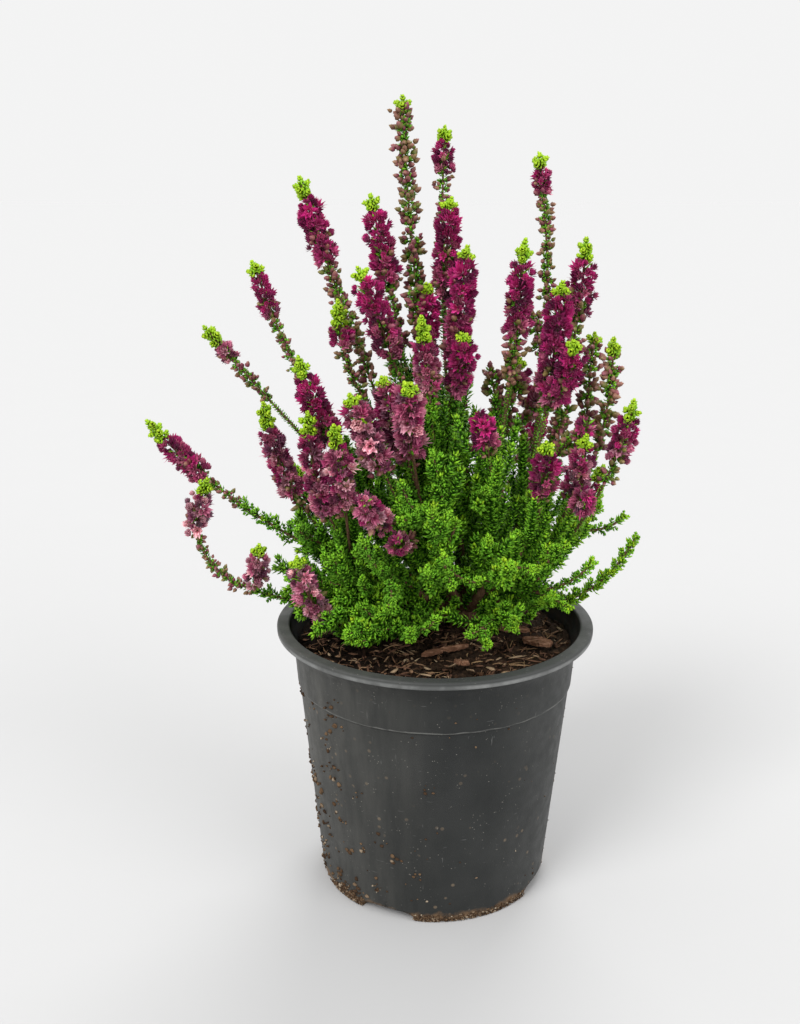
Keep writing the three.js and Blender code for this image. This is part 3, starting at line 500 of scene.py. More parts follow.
def tube(builder, path, start, end, radius, kind, tone=(0.5, 0.5, 0.5), sides=6, step=2.5, rough=0.0):
    """A round stem along a path, narrowed at each end and left open there. Its radius is a number, or a
    function of the length s."""
    count = max(3, int((end - start) / step) + 2)
    s = np.linspace(start, end, count)
    centre, _, u, v = path.axes(s)
    angle = turns(sides)[None]
    r = (radius(s) if callable(radius) else radius) * np.ones(count)
    r[0] *= 0.5
    r[-1] *= 0.3
    s = column(s)
    wobble = 1 + rough * np.sin(s * 1.7 + angle * 2) * np.cos(s * 0.9 + angle)
    ring = u[:, None] * np.cos(angle)[..., None] + v[:, None] * np.sin(angle)[..., None]
    points = centre[:, None] + ring * (column(r) * wobble)[..., None]
    builder.add(points, loop_faces(count, sides), kind, tone)


# A scale leaf: thick, keeled and pointed, growing along +Y with its outer face to +Z.
LEAF = Shape(
    [(0, -0.06, 0), (-0.5, 0.56, 0.08), (0.5, 0.56, 0.08), (0, 0.5, 0.5), (0, 1, 0.14)],
    [(0, 2, 3), (0, 3, 1), (3, 2, 4), (1, 3, 4), (0, 1, 4), (0, 4, 2)],
    [0, 0.5, 0.5, 0.55, 1],
)
# A leaf of the youngest tips: short, blunt and full.
LOBE = Shape(
    [(0, -0.06, 0), (-0.52, 0.5, 0), (0.52, 0.5, 0), (0, 0.5, 0.62), (-0.26, 0.92, 0.2), (0.26, 0.92, 0.2)],
    [(0, 2, 3), (0, 3, 1), (3, 2, 5), (3, 5, 4), (1, 3, 4), (0, 1, 4), (0, 4, 5), (0, 5, 2)],
    [0, 0.5, 0.5, 0.6, 1, 1],
)
# Florets 2 units across and 1.8 deep, as layers of petals: how many, middle radius and height,
# tip radius and height, width. Open stars, and balls of petals that are still closed.
OPEN_PETALS = [
    (6, 0.68, 0.42, 1.1, 0.72, 0.62),
    (6, 0.54, 0.66, 0.88, 1.12, 0.54),
    (5, 0.36, 0.86, 0.5, 1.46, 0.46),
]
CLOSED_PETALS = [
    (6, 0.78, 0.5, 0.82, 1.14, 0.78),
    (6, 0.62, 0.76, 0.52, 1.44, 0.64),
    (4, 0.38, 1.0, 0.2, 1.66, 0.5),
]
rng = np.random.default_rng(41)


def floret(layers, uneven=0.0):
    """A double floret, opening along +Z."""
    points, triangles, along = [], [], []
    for layer, (petals, r_mid, z_mid, r_tip, z_tip, width) in enumerate(layers):
        for i in range(petals):
            a = 2 * math.pi * (i + 0.37 * layer + uneven * rng.normal()) / petals
            stretch = 1 + uneven * rng.normal()
            out, side = np.array([[math.cos(a), math.sin(a), 0], [-math.sin(a), math.cos(a), 0]])
            middle, half = out * r_mid + UP * z_mid, side * width / 2
            first = len(points)
            points += [out * 0.1, middle - half, middle + half, (out * r_tip + UP * z_tip) * stretch]
            triangles += [(first, first + 2, first + 3), (first, first + 3, first + 1)]
            along += [0, 0.5, 0.5, 1]
    return Shape(points, triangles, along)


def make_bud():
    """A round closed bud, base at the origin and tip along +Z, 1 unit across and 1.3 long."""
    sides, profile = 5, [(0.0, 0.0), (0.36, 0.1), (0.52, 0.46), (0.36, 0.88), (0.0, 1.3)]
    points = []
    for i, (r, z) in enumerate(profile):
        for a in 2 * math.pi * (np.arange(sides) + 0.5 * (i % 2)) / sides:
            points.append((r * math.cos(a), r * math.sin(a), z))
    quads = loop_faces(len(profile), sides)
    triangles = np.concatenate([quads[sides:, :3], quads[:-sides, [0, 2, 3]]])
    return Shape(points, triangles, [z / 1.3 for _, _, z in points])


STARS = [floret(OPEN_PETALS, 0.16) for _ in range(4)]
BALL = floret(CLOSED_PETALS)
BUD = make_bud()
LEAF_KIND, PETAL_KIND, BUD_KIND, TWIG_KIND = range(4)
OPEN_SHARE, BIG_SHARE, LEAF_SHARE, BUD_SCATTER = 0.52, 0.3, 0.3, 0.42
# Rows of leaves on a tuft: how far up, how many, splay in degrees and length.
TUFT_ROWS = [(0.0, 4, 50, 1.75), (0.4, 4, 38, 1.6), (0.82, 3, 16, 1.4)]
TIP_ROWS = [(0.0, 5, 52, 1.7), (0.5, 5, 34, 1.55), (0.95, 3, 14, 1.35)]


def side_light_and_youth(centre):
    """Painted light, with youth: the leaves are coloured younger and paler towards +X and outwards, where
    more light falls, and they are younger there too.
    """
    outward = np.linalg.norm(centre[:, :2] - CROWN[:2], axis=1)
    return np.clip(centre[:, 0] / 60, -0.6, 1) * 0.15 + np.clip(outward / 60 - 0.4, -0.3, 0.5) * 0.16


def put_leaves(builder, path, start, end, reach, turn, pitch, youth=0.3, splay=54, width=1.15, knobs=0.0):
    """Whorls of scale leaves along a stretch, splayed below and closing over its tip."""
    if end - start < 1:
        return
    whorls = max(2, int(round((end - start) / pitch)))
    s = np.repeat(start + (np.arange(whorls) + 0.5) * (end - start) / whorls, WHORL)
    n = len(s)
    k = np.arange(n)
    s = s + rng.normal(0, pitch * 0.12, n)
    angle = turn + (k % WHORL) * 2 * math.pi / WHORL + (k // WHORL) * math.pi / WHORL
    centre, f, out = path.around(s, angle + rng.normal(0, 0.16, n))
    near_tip = np.clip(1 - (end - s) / 3.5, 0, 1)
    tilt = np.radians(splay * (1 - 0.6 * near_tip) + rng.normal(0, 7, n))
    long = (reach - 0.3) / math.sin(math.radians(splay)) * (1 - 0.28 * near_tip) * rng.normal(1, 0.09, n)
    knob = knobs * np.sin(s * 1.9 + turn + 1.2 * np.sin(s * 0.5))
    sizes = (rng.normal(width, 0.1, n), long * (1 + knob), 0.95)
    age = youth + 0.25 * near_tip + 0.34 * knob + side_light_and_youth(centre) + rng.normal(0, 0.05, n)
    builder.copies(LEAF, centre + out * 0.3, toward(f, out, tilt), toward(out, -f, tilt), sizes,
                   LEAF_KIND, rng.random(n), np.clip(age, 0, 1))


def opposite_pairs(start, end, spacing, turn, at=0.5, least=2, wander=0.0, sway=0.2, on_top=False):
    """Lengths along a stem and angles round it of opposite pairs, each square to the last."""
    pairs = max(least, int(round((end - start) / spacing)))
    s = np.repeat(start + (np.arange(pairs) + at) * (end - start) / pairs, 2)
    if on_top:
        s = np.append(s, end)
    k = np.arange(len(s))
    if wander:
        s = s + rng.normal(0, wander, len(s))
    return s, turn + (k % 2) * math.pi + (k // 2) * math.pi / 2 + rng.normal(0, sway, len(s))


def put_rosettes(builder, shape, centre, axis, side, rows, swings, rise, bulk, tone, full=1, stretch=1):
    """Very short shoots along their axes, each clothed in rows of leaves."""
    n, face = len(centre), np.cross(side, axis)
    for row, (share, leaves, splay, long) in enumerate(rows):
        for j in range(leaves):
            a = 2 * math.pi * (j + 0.5 * row) / leaves + rng.normal(0, swings[0], n)
            t = np.radians(splay + rng.normal(0, swings[1], n))
            away = toward(side, face, a)
            size = rng.normal(1, swings[2], n) * full
            sizes = (bulk[0] * size, long * stretch * size, bulk[1] * size)
            builder.copies(shape, centre + axis * rise(share), toward(axis, away, t),
                           toward(away, -axis, t), sizes, LEAF_KIND, *tone(row))


def put_tufts(builder, path, start, end, reach, turn):
    """Opposite pairs of tufts of scale leaves up a leafy stem."""
    s, angle = opposite_pairs(start, end, TUFT_SPACING, turn, at=0.4, wander=0.3, sway=0.22)
    n = len(s)
    centre, f, out = path.around(s, angle)
    near_tip = np.clip(1 - (end - s) / 4, 0, 1)
    axis = toward(f, out, np.radians(50 - 22 * near_tip + rng.normal(0, 6, n)))
    long = (reach - 1.1) / math.sin(math.radians(50)) * (1 - 0.2 * near_tip) * rng.normal(1, 0.1, n)
    age = np.clip(0.25 + 0.3 * near_tip + side_light_and_youth(centre) + rng.normal(0, 0.08, n), 0, 1)
    variety = rng.random(n)
    put_rosettes(builder, LEAF, centre, axis, unit(np.cross(axis, f)), TUFT_ROWS, (0.15, 7, 0.1),
                 lambda share: column(0.3 + share * long), (1.25, 0.9),
                 lambda row: (np.clip(variety + rng.normal(0, 0.12, n), 0, 1), age))


def put_young_tip(builder, path, start, end, reach, turn):
    """The lime-green end of a flowering stem: pairs of tight tufts of blunt leaves, one on top."""
    end = end - 1.5
    s, angle = opposite_pairs(start, end, TIP_SPACING, turn, on_top=True)
    n = len(s)
    centre, f, out = path.around(s, angle)
    axis = toward(f, out, np.radians(np.append(np.full(n - 1, 58.0), 0.0) + rng.normal(0, 6, n)))
    variety = rng.uniform(0.35, 0.8, n)
    put_rosettes(builder, LOBE, centre, axis, unit(np.cross(axis, f + 0.01)), TIP_ROWS, (0.12, 6, 0.07),
                 lambda share: 0.5 + share * reach * 0.52, (1.4, 1.05),
                 lambda row: (variety, np.clip(0.74 + 0.08 * row + rng.normal(0, 0.05, n), 0, 1)),
                 full=np.clip((end - s) / 2.5 + 0.85, 0.85, 1) * 1.12, stretch=reach / 2.8)


def put_florets(builder, path, start, end, reach, turn, fade):
    """Double florets packed round a stretch in uneven clusters: open stars, and closed balls of
    petals between them."""
    n = max(5, int((end - start) / FLORET_STEP))
    depth = (np.arange(n) + 0.5) / n
    s = end - depth * (end - start)
    angle = turn + np.arange(n) * GOLDEN + rng.normal(0, 0.22, n)
    centre, f, u, v = path.axes(s)
    out = toward(u, v, angle)
    axis = toward(out, f, np.radians(rng.normal(26, 12, n) + 30 * np.clip(1 - depth * 6, 0, 1)))
    clusters = 1.07 + 0.2 * np.sin(s * 0.95 + 2 * turn) * np.cos(angle - s * 0.21)
    clusters = clusters + 0.13 * np.sin(s * 1.9 + turn)
    narrow = np.clip(0.74 + 2.2 * np.minimum(depth, 1.15 - depth), 0.68, 1) * clusters
    size = np.clip(reach / 5, 0.82, 1.12) * 1.72 * np.clip(narrow, 0.75, 1.15) * rng.normal(1, 0.15, n)
    place = centre + out * column(np.maximum(reach * narrow - size * 1.6, 0.2))
    y = np.cross(axis, unit(np.cross(axis, f + 0.01)))
    open_up = rng.random(n) < OPEN_SHARE
    size = np.where(open_up & (rng.random(n) < BIG_SHARE), size * 1.22, size)
    patches = 0.16 * np.sin(s * 0.9 + 3 * turn) * np.cos(angle + s * 0.15)
    ripening = 0.52 if fade < 0.4 else 0.2
    age = fade + ripening * depth ** 1.3 + patches + rng.normal(0, 0.13 + 0.1 * (fade > 0.3), n)
    age = np.clip(age, 0, 1)
    form = np.where(open_up, rng.integers(0, len(STARS), n), len(STARS))
    for index, shape in enumerate([*STARS, BALL]):
        c = np.flatnonzero(form == index)
        builder.copies(shape, place[c], y[c], axis[c], size[c], PETAL_KIND, rng.random(len(c)), age[c])
    few = np.flatnonzero(rng.random(n) < LEAF_SHARE)
    leaf_axis = unit(out[few] + f[few] * 0.8)
    z = unit(np.cross(np.cross(leaf_axis, f[few]), leaf_axis))
    builder.copies(LEAF, centre[few], leaf_axis, z, (1.1, reach * 0.95, 0.8), LEAF_KIND,
                   rng.random(len(few)), 0.5)


def put_buds(builder, path, start, end, reach, turn, spacing=BUD_SPACING):
    """Opposite pairs of short stalks up a stretch, each with a few round buds and green bracts."""
    s, angle = opposite_pairs(start, end, spacing, turn, least=1, wander=0.4, sway=0.25)
    each = 3 if reach < 3.9 else 4
    stalks, n = len(s), len(s) * each
    centre, f, out = path.around(np.repeat(s, each), np.repeat(angle, each))
    stalk = toward(out, f, np.radians(np.repeat(rng.normal(34, 9, stalks), each)))
    aside = rng.normal(0, 1, (n, 3)) * BUD_SCATTER
    axis = unit(stalk + aside)
    size = np.clip(reach * 0.5, 1.45, 2.0) * rng.normal(1, 0.16, n)
    base = np.maximum(reach - size * 0.95, 0.6) * rng.uniform(0.62, 1.0, n)
    x = unit(np.cross(axis, f + 0.01))
    y = np.cross(axis, x)
    ripe = np.clip(np.repeat(rng.random(stalks), each) + rng.normal(0, 0.2, n), 0, 1)
    place = centre + stalk * column(base) + aside * column(size)
    builder.copies(BUD, place, y, axis, size, BUD_KIND, ripe, rng.random(n))
    for j in range(3):
        away = toward(x, y, 2 * math.pi * j / 3 + rng.normal(0, 0.3, n))
        leaf_axis = unit(axis + away * 0.55)
        z = unit(away - leaf_axis * column(np.sum(away * leaf_axis, axis=1)))
        builder.copies(LEAF, centre + stalk * column(base * 0.5), leaf_axis, z,
                       (1.15, base * 0.5 + size * 0.8, 0.75), LEAF_KIND, rng.random(n),
                       np.clip(0.1 + ripe * 0.4, 0, 1))


def put_stem(builder, axis, fade):
    """Everything on one axis, stretch by stretch, with its slim core."""
    path, start, turn = axis["path"], axis["start"], axis["turn"]
    tube(builder, path, max(0, start - 3), path.length, lambda s: 0.42 + 0.2 * (1 - s / path.length),
         TWIG_KIND)
    for kind, low, high in axis["stretches"]:
        reach = reach_of(axis, kind)
        if kind == "green" and axis.get("dull"):
            put_florets(builder, path, low - 1, high, 2, turn, fade)
        elif kind == "green":
            put_young_tip(builder, path, low, high, reach * 1.22, turn)
        elif kind == "florets":
            put_florets(builder, path, low - 1, high, reach, turn, fade)
            put_buds(builder, path, low, low + (high - low) * 0.45, reach * 0.95, turn, 4.5)
        elif kind == "buds":
            put_buds(builder, path, low, high, reach, turn)
            put_leaves(builder, path, low, high, 1.7, turn, 1.5)
        elif kind == "leaf":
            put_tufts(builder, path, low + (2 if start == 0 else 0), high, reach, turn)
            put_leaves(builder, path, max(low, high - 4), high, reach * 0.8, turn, 0.9, 0.35)
        elif kind == "stalk":
            put_leaves(builder, path, low, high, 1.9, turn, 1.2)


def put_sprig(builder, path, reach, turn, youth):
    """A fine leafy twig."""
    tube(builder, path, 0, path.length, 0.3, LEAF_KIND, (0.2, 0.0, 0.1), sides=4, step=5)
    put_leaves(builder, path, 1, path.length, reach, turn, 0.88, youth, splay=50, width=1.3, knobs=0.42)


def side_sprigs(builder, path, start, end, spacing, longest, turn, inside, spread, taper=0.45):
    """Small leafy sprigs that fill a stem out, in opposite pairs that bend upwards."""
    pairs = max(0, int((end - start) / spacing))
    for k in range(pairs * 2):
        s = start + (k // 2 + 0.5) * (end - start) / pairs + rng.normal(0, 0.6)
        origin, f, u, v = path.axes(np.clip(s, 0, path.length))
        angle = turn + (k % 2) * math.pi + (k // 2) * math.pi / 2 + rng.normal(0, 0.35)
        heading = leaning(f, u, v, angle, math.radians(rng.normal(spread, 8)))
        long = longest * rng.uniform(0.55, 1) * (1 - taper * (s - start) / (end - start))
        half = origin + heading * long * 0.5
        tip = half + unit(heading + 1.1 * UP) * long * 0.5
        if inside(tip):
            reach, youth = rng.uniform(1.9, 2.3), 0.16 + 0.24 * rng.random()
            put_sprig(builder, Path(origin, half, tip), reach, angle, youth)


# ---------------------------------------------------------------- materials

class Surface:
    """A material's node tree, with short calls for the nodes that it is made of."""

    def __init__(self, name, roughness, specular, sheen=0.0):
        self.material = bpy.data.materials.new(name)
        self.material.use_nodes = True
        self.tree = self.material.node_tree
        self.shader = self.tree.nodes["Principled BSDF"]
        self.shader.inputs["Roughness"].default_value = roughness
        self.shader.inputs["Specular IOR Level"].default_value = specular
        self.shader.inputs["Sheen Weight"].default_value = sheen
        self.place = self.node("ShaderNodeTexCoord").outputs["Object"]

    def node(self, kind, *links, **settings):
        """A node with its settings, and values or links for its sockets, given in pairs."""
        made = self.tree.nodes.new(kind)
        for key, value in settings.items():
            setattr(made, key, value)
        for socket, value in zip(links[::2], links[1::2]):
            self.link(value, made.inputs[socket])
        return made

    def link(self, value, socket):
        if isinstance(value, bpy.types.NodeSocket):
            self.tree.links.new(value, socket)
        elif isinstance(value, tuple) and len(socket.default_value) == 4:
            socket.default_value = (*value, 1.0)
        else:
            socket.default_value = value

    def tones(self):
        """The three values of each point: variety, height along its form, and age."""
        tone = self.node("ShaderNodeAttribute", attribute_name="tone").outputs["Color"]
        return self.node("ShaderNodeSeparateColor", 0, tone).outputs[:3]

    def axis(self, index):
        return self.node("ShaderNodeSeparateXYZ", 0, self.place).outputs[index]

    def math(self, operation, a, b=0.0, clamp=False):
        return self.node("ShaderNodeMath", 0, a, 1, b, operation=operation, use_clamp=clamp).outputs[0]

    def times(self, a, b, clamp=False):
        return self.math("MULTIPLY", a, b, clamp)

    def plus(self, a, b):
        return self.math("ADD", a, b)

    def mix(self, share, a, b, blend="MIX"):
        made = self.node("ShaderNodeMix", data_type="RGBA", blend_type=blend)
        for socket, value in ((0, share), (6, a), (7, b)):
            self.link(value, made.inputs[socket])
        return made.outputs[2]

    def tinted(self, colour, tint):
        return self.mix(1.0, colour, tint, "MULTIPLY")

    def ramp(self, value, *stops):
        """Greys (position, grey) or colours (position, red, green, blue), positions from 0 to 1."""
        made = self.node("ShaderNodeValToRGB", 0, value)
        elements = made.color_ramp.elements
        for stop in stops[2:]:
            elements.new(stop[0])
        for element, (position, *colour) in zip(elements, stops):
            element.position = position
            element.color = (*(colour * 3)[:3], 1)
        return made.outputs[0]

    def noise(self, size, detail, stretch=(1, 1, 1), rough=0.55, move=(0, 0, 0)):
        """Noise with features about size millimetres across, stretched along an axis."""
        place = self.node("ShaderNodeMapping", "Vector", self.place)
        place.inputs["Scale"].default_value = tuple(1 / s for s in stretch)
        place.inputs["Location"].default_value = move
        return self.node("ShaderNodeTexNoise", "Vector", place.outputs[0], "Scale", 1000 / size,
                         "Detail", detail, "Roughness", rough).outputs[0]

    def patches(self, size, detail, start, full, low=0.0, high=1.0, **more):
        """Noise cut into patches between two levels."""
        return self.ramp(self.noise(size, detail, **more), (start, low), (full, high))

    def stained(self, colour, stain, amount, *grain, **more):
        """A colour with a noise of another over it."""
        return self.mix(self.times(self.noise(*grain, **more), amount), colour, stain)

    def spots(self, size, full, start):
        """Round spots on a mesh of cells."""
        cells = self.node("ShaderNodeTexVoronoi", "Vector", self.place, "Scale", 1000 / size)
        return self.ramp(cells.outputs["Distance"], (full, 1.0), (start, 0.0))

    def bump(self, height, depth):
        """A bump of so many millimetres."""
        made = self.node("ShaderNodeBump", "Height", height, "Distance", depth * MM, "Strength", 1.0)
        self.link(made.outputs[0], self.shader.inputs["Normal"])

    def done(self, colour, roughness=None):
        self.link(colour, self.shader.inputs["Base Color"])
        if roughness is not None:
            self.link(roughness, self.shader.inputs["Roughness"])
        return self.material


def leaf_material():
    look = Surface("scale_leaf", 0.5, 0.16)
    variety, along, age = look.tones()
    green = look.ramp(age, (0.0, 0.022, 0.12, 0.004), (0.3, 0.08, 0.31, 0.01), (0.6, 0.23, 0.54, 0.02),
                      (0.78, 0.31, 0.5, 0.008), (1.0, 0.5, 0.66, 0.022))
    green = look.tinted(green, look.ramp(variety, (0.0, 0.55, 0.62, 0.5), (0.5, 1.0), (0.86, 1.2, 1.2, 1.1),
                                         (1.0, 1.45, 1.25, 1.0)))
    # Painted shade darkens each leaf towards its base, and painted light turns it paler towards its tip.
    green = look.tinted(green, look.ramp(along, (0.0, 0.5), (0.8, 1.12)))
    tip = look.times(look.math("SUBTRACT", along, 0.25, clamp=True), 0.6)
    green = look.mix(tip, green, (0.27, 0.5, 0.045))
    green = look.stained(green, look.tinted(green, (0.5, 0.55, 0.5)), 0.35, 14, 2)
    look.bump(look.noise(0.5, 2), 0.1)
    return look.done(green)


def petal_material():
    look = Surface("heather_petal", 0.6, 0.2, sheen=0.1)
    variety, along, age = look.tones()
    colour = look.ramp(age, (0.0, 0.41, 0.006, 0.125), (0.25, 0.34, 0.009, 0.105), (0.5, 0.25, 0.02, 0.09),
                       (0.72, 0.42, 0.055, 0.155), (1.0, 0.48, 0.18, 0.21))
    edge = look.ramp(age, (0.0, 0.5, 0.015, 0.18), (0.25, 0.48, 0.03, 0.19), (0.5, 0.52, 0.13, 0.22),
                     (0.72, 0.8, 0.3, 0.43), (1.0, 0.9, 0.54, 0.6))
    colour = look.mix(look.ramp(along, (0.25, 0.0), (0.95, 1.0)), colour, edge)
    colour = look.tinted(colour, look.ramp(variety, (0.0, 0.25, 0.2, 0.3), (0.4, 0.82, 0.8, 0.82),
                                           (0.85, 1.12, 1.1, 1.12), (1.0, 1.6, 1.9, 1.7)))
    look.bump(look.noise(0.6, 2), 0.12)
    return look.done(look.stained(colour, (0.2, 0.012, 0.05), 0.25, 0.7, 3, stretch=(1, 1, 2.5)))


def bud_material():
    look = Surface("heather_bud", 0.5, 0.35)
    variety, along, age = look.tones()
    colour = look.ramp(variety, (0.0, 0.13, 0.17, 0.02), (0.25, 0.19, 0.11, 0.035),
                       (0.5, 0.12, 0.028, 0.035), (0.75, 0.24, 0.035, 0.08), (1.0, 0.34, 0.16, 0.11))
    tip = look.ramp(age, (0.0, 0.44, 0.34, 0.15), (0.5, 0.4, 0.1, 0.17), (1.0, 0.28, 0.24, 0.07))
    colour = look.mix(look.ramp(along, (0.35, 0.0), (1.0, 0.85)), colour, tip)
    look.bump(look.noise(0.5, 2), 0.1)
    return look.done(look.stained(colour, (0.08, 0.03, 0.03), 0.3, 0.8, 2))


def twig_material():
    look = Surface("heather_twig", 0.75, 0.25)
    grain = look.noise(0.9, 4, stretch=(1, 1, 5))
    colour = look.ramp(grain, (0.25, 0.045, 0.022, 0.012), (0.5, 0.13, 0.07, 0.035), (0.8, 0.3, 0.19, 0.11))
    look.bump(grain, 0.35)
    return look.done(look.stained(colour, (0.16, 0.075, 0.05), 0.5, 9, 2))


PLANT = [leaf_material(), petal_material(), bud_material(), twig_material()]


# ---------------------------------------------------------------- the plant's pieces

def make_woody_stems():
    builder = Builder()
    for branch in trunk:
        tube(builder, branch, 0, branch.length, lambda s: MAIN_RADIUS + (branch.length - s) * MAIN_TAPER,
             TWIG_KIND, sides=10, step=2, rough=0.16)
    for stem in flowers + leafy:
        end = stem["start"] - SEAT
        tube(builder, stem["path"], 0, end, lambda s: 0.55 + (end - s) * 0.005, TWIG_KIND, sides=8, step=2,
             rough=0.12)
    add_root_crown(builder)
    builder.piece("woody_stems_bark", PLANT, "wood", "woody_stems")


def add_root_crown(builder):
    """The short gnarled trunk between the compost and the branches."""
    profile = [(-24, 0.0), (-24, 3.2), (-16, 4.8), (-4, 5.3), (1, 5.4), (5, 4.9), (8, 4.4), (10.4, 3.2),
               (11.4, 0.0)]
    rings, sides = 44, 36
    z = np.linspace(-24, 11.4, rings)
    r = np.interp(z, *zip(*profile))
    r[[0, -1]] = 0.02
    z, angle = column(z), turns(sides)[None]
    r = column(r) * (1 + 0.09 * np.sin(angle * 5 + z * 0.25) + 0.05 * np.sin(angle * 11 - z * 0.6))
    points = np.stack([CROWN[0] + r * np.cos(angle), CROWN[1] + r * np.sin(angle),
                       np.broadcast_to(SOIL_LEVEL + z, r.shape)], axis=-1)
    builder.add(points, loop_faces(rings, sides), TWIG_KIND)


# How far each flowering stem has faded, for those that have.
FADED = {4: 0.5, 9: 0.72, 11: 0.5, 12: 0.5, 13: 0.1, 14: 0.8, 15: 0.85, 16: 0.5, 17: 0.58, 23: 0.1,
         24: 0.08, 25: 0.35, 27: 0.4}
# Side sprigs of buds: the flowering stem that each grows from, how far up it, its tip, and the
# length of its florets.
BUD_SPRIGS = [
    (1, 0.36, (-9, 10, 225), 0), (17, 0.36, (-14, -34, 144), 7), (18, 0.46, (36, 14, 217), 0),
    (19, 0.38, (20, 14, 197), 0), (19, 0.45, (31, 8, 195), 3), (20, 0.33, (47, 2, 184), 0),
    (20, 0.28, (54, -5, 180), 3),
]
# Low leafy twigs: the branch that each grows from, and its tip.
LOW_TWIGS = [
    (4, (-56, -6, 116)), (4, (-50, -20, 111)), (5, (-43, -31, 109)), (4, (-62, 6, 121)),
    (3, (-52, 6, 128)), (5, (-30, -38, 110)), (5, (-36, -24, 118)),
]


def clear_of_pot(point):
    return point[2] > (SOIL_LEVEL + 5 if np.linalg.norm(point[:2]) < 46 else POT_HEIGHT + 4)


def in_foliage_dome(point):
    """Whether a point is in the rounded mass of green at the plant's foot."""
    r = np.linalg.norm(point[:2] - DOME_CENTRE)
    top = SOIL_LEVEL + 4 + DOME_HEIGHT * (1 - (r / DOME_RADIUS) ** 2)
    at_gap = GAP_FROM < point[0] < GAP_TO and point[1] < 0 and point[2] < GAP_TOP
    return point[2] < top and clear_of_pot(point) and not at_gap


def put_bud_sprig(builder, stem, share, tip, florets, fade):
    path, reach, turn = stem["path"], 4.2, share * 20
    foot = path.at(share * path.length)
    sprig = Path(foot, (foot + np.array(tip)) / 2 + path.forward(share * path.length) * -1.5, tip)
    end = sprig.length
    tube(builder, sprig, 0, end, 0.45, TWIG_KIND)
    if florets:
        put_florets(builder, sprig, end - florets, end, reach, turn, fade)
    put_buds(builder, sprig, end * 0.25, end - florets, reach, turn)
    put_leaves(builder, sprig, 2, end - florets, 1.7, share, 1.5)


def make_flower_sprays():
    for i, stem in enumerate(flowers):
        builder = Builder()
        fade = FADED.get(i + 1, 0.0)
        for axis in [stem] + stem["branches"]:
            put_stem(builder, axis, fade)
        put_leaves(builder, stem["path"], 0.3 * stem["start"], stem["start"], 1.4, i, 1.0)
        for number, share, tip, florets in BUD_SPRIGS:
            if number == i + 1:
                put_bud_sprig(builder, stem, share, tip, florets, max(fade, 0.4))
        for kind, low, high in stem["stretches"]:
            if kind == "leaf":
                side_sprigs(builder, stem["path"], low, high, 4.5, 7.5, i, clear_of_pot, 36)
        number = "%02d" % (i + 1)
        builder.piece("heather_flowers_" + number, PLANT, "flower", "flower_spray_" + number)


def make_leafy_stems():
    for i, stem in enumerate(leafy):
        builder = Builder()
        for axis in [stem] + stem["branches"]:
            path, start = axis["path"], axis["start"]
            outer = np.linalg.norm(path.points[-1][:2] - CROWN[:2]) > 42
            if path.length < SPRIG_CARRIER and not outer:
                put_sprig(builder, path, 2.4, axis["turn"], 0.3)
                continue
            put_stem(builder, axis, 0)
            if not LEAFY_STEMS[i][3]:
                side_sprigs(builder, path, start + 2, path.length - 4, 3.2, 6.5, 0, clear_of_pot, 40)
            elif path.length >= SPRIG_CARRIER:
                side_sprigs(builder, path, start + 3, path.length - 5, SPRIG_SPACING, SPRIG_LENGTH,
                            axis["turn"], clear_of_pot, 30)
        number = "%02d" % (i + 1)
        builder.piece("heather_leaves_" + number, PLANT, "leaf", "leafy_stem_" + number)


def make_low_foliage():
    """Fine upright sprigs on the woody stems, inside the mass of green."""
    left, right = Builder(), Builder()
    rows = [(stem["path"], 4, stem["start"] - 2, 5.6, LOW_SPRIG_LENGTH, i, 24, 0.3)
            for i, stem in enumerate(flowers)]
    rows += [(stem["path"], 2, stem["start"], 6, LOW_SPRIG_LENGTH * 0.7, i, 28, 0.45)
             for i, stem in enumerate(leafy)]
    rows += [(branch, 2, branch.length, 5.5, 17, i * 1.3, 42, 0.45) for i, branch in enumerate(trunk)]
    for path, start, end, spacing, longest, turn, spread, taper in rows:
        side = left if path.points[-1][0] < LEFT_OF else right
        side_sprigs(side, path, start, end, spacing, longest, turn, in_foliage_dome, spread, taper)
    for i, (branch, tip) in enumerate(LOW_TWIGS):
        start = trunk[branch].points[-4]
        twig = Path(start, (start + np.array(tip)) / 2 + 3 * UP, tip)
        put_sprig(left, twig, 2.6, i, 0.4)
        side_sprigs(left, twig, 6, twig.length - 3, 4.5, 12, i, clear_of_pot, 34)
    left.piece("low_foliage_left", PLANT, "leaf")
    right.piece("low_foliage_right", PLANT, "leaf")


make_woody_stems()
make_flower_sprays()
make_leafy_stems()
make_low_foliage()


# ---------------------------------------------------------------- the pot

def wall_radius(z):
    share = (z - FOOT_HEIGHT) / (BAND_BOTTOM - FOOT_HEIGHT)
    return FOOT_TOP_RADIUS + (BODY_TOP_RADIUS - FOOT_TOP_RADIUS) * share


def outer_radius(z):
    """The pot's outside below the lip."""
    return np.where(z < BAND_BOTTOM + 0.7, wall_radius(z), BAND_RADIUS + (z - BAND_BOTTOM) * 0.073)


def arc(r, z, radius, start, end, count=4):
    """Points (r, z) of an arc between two angles in degrees."""
    return [(r + radius * math.cos(t), z + radius * math.sin(t))
            for t in np.radians(np.linspace(start, end, count))]


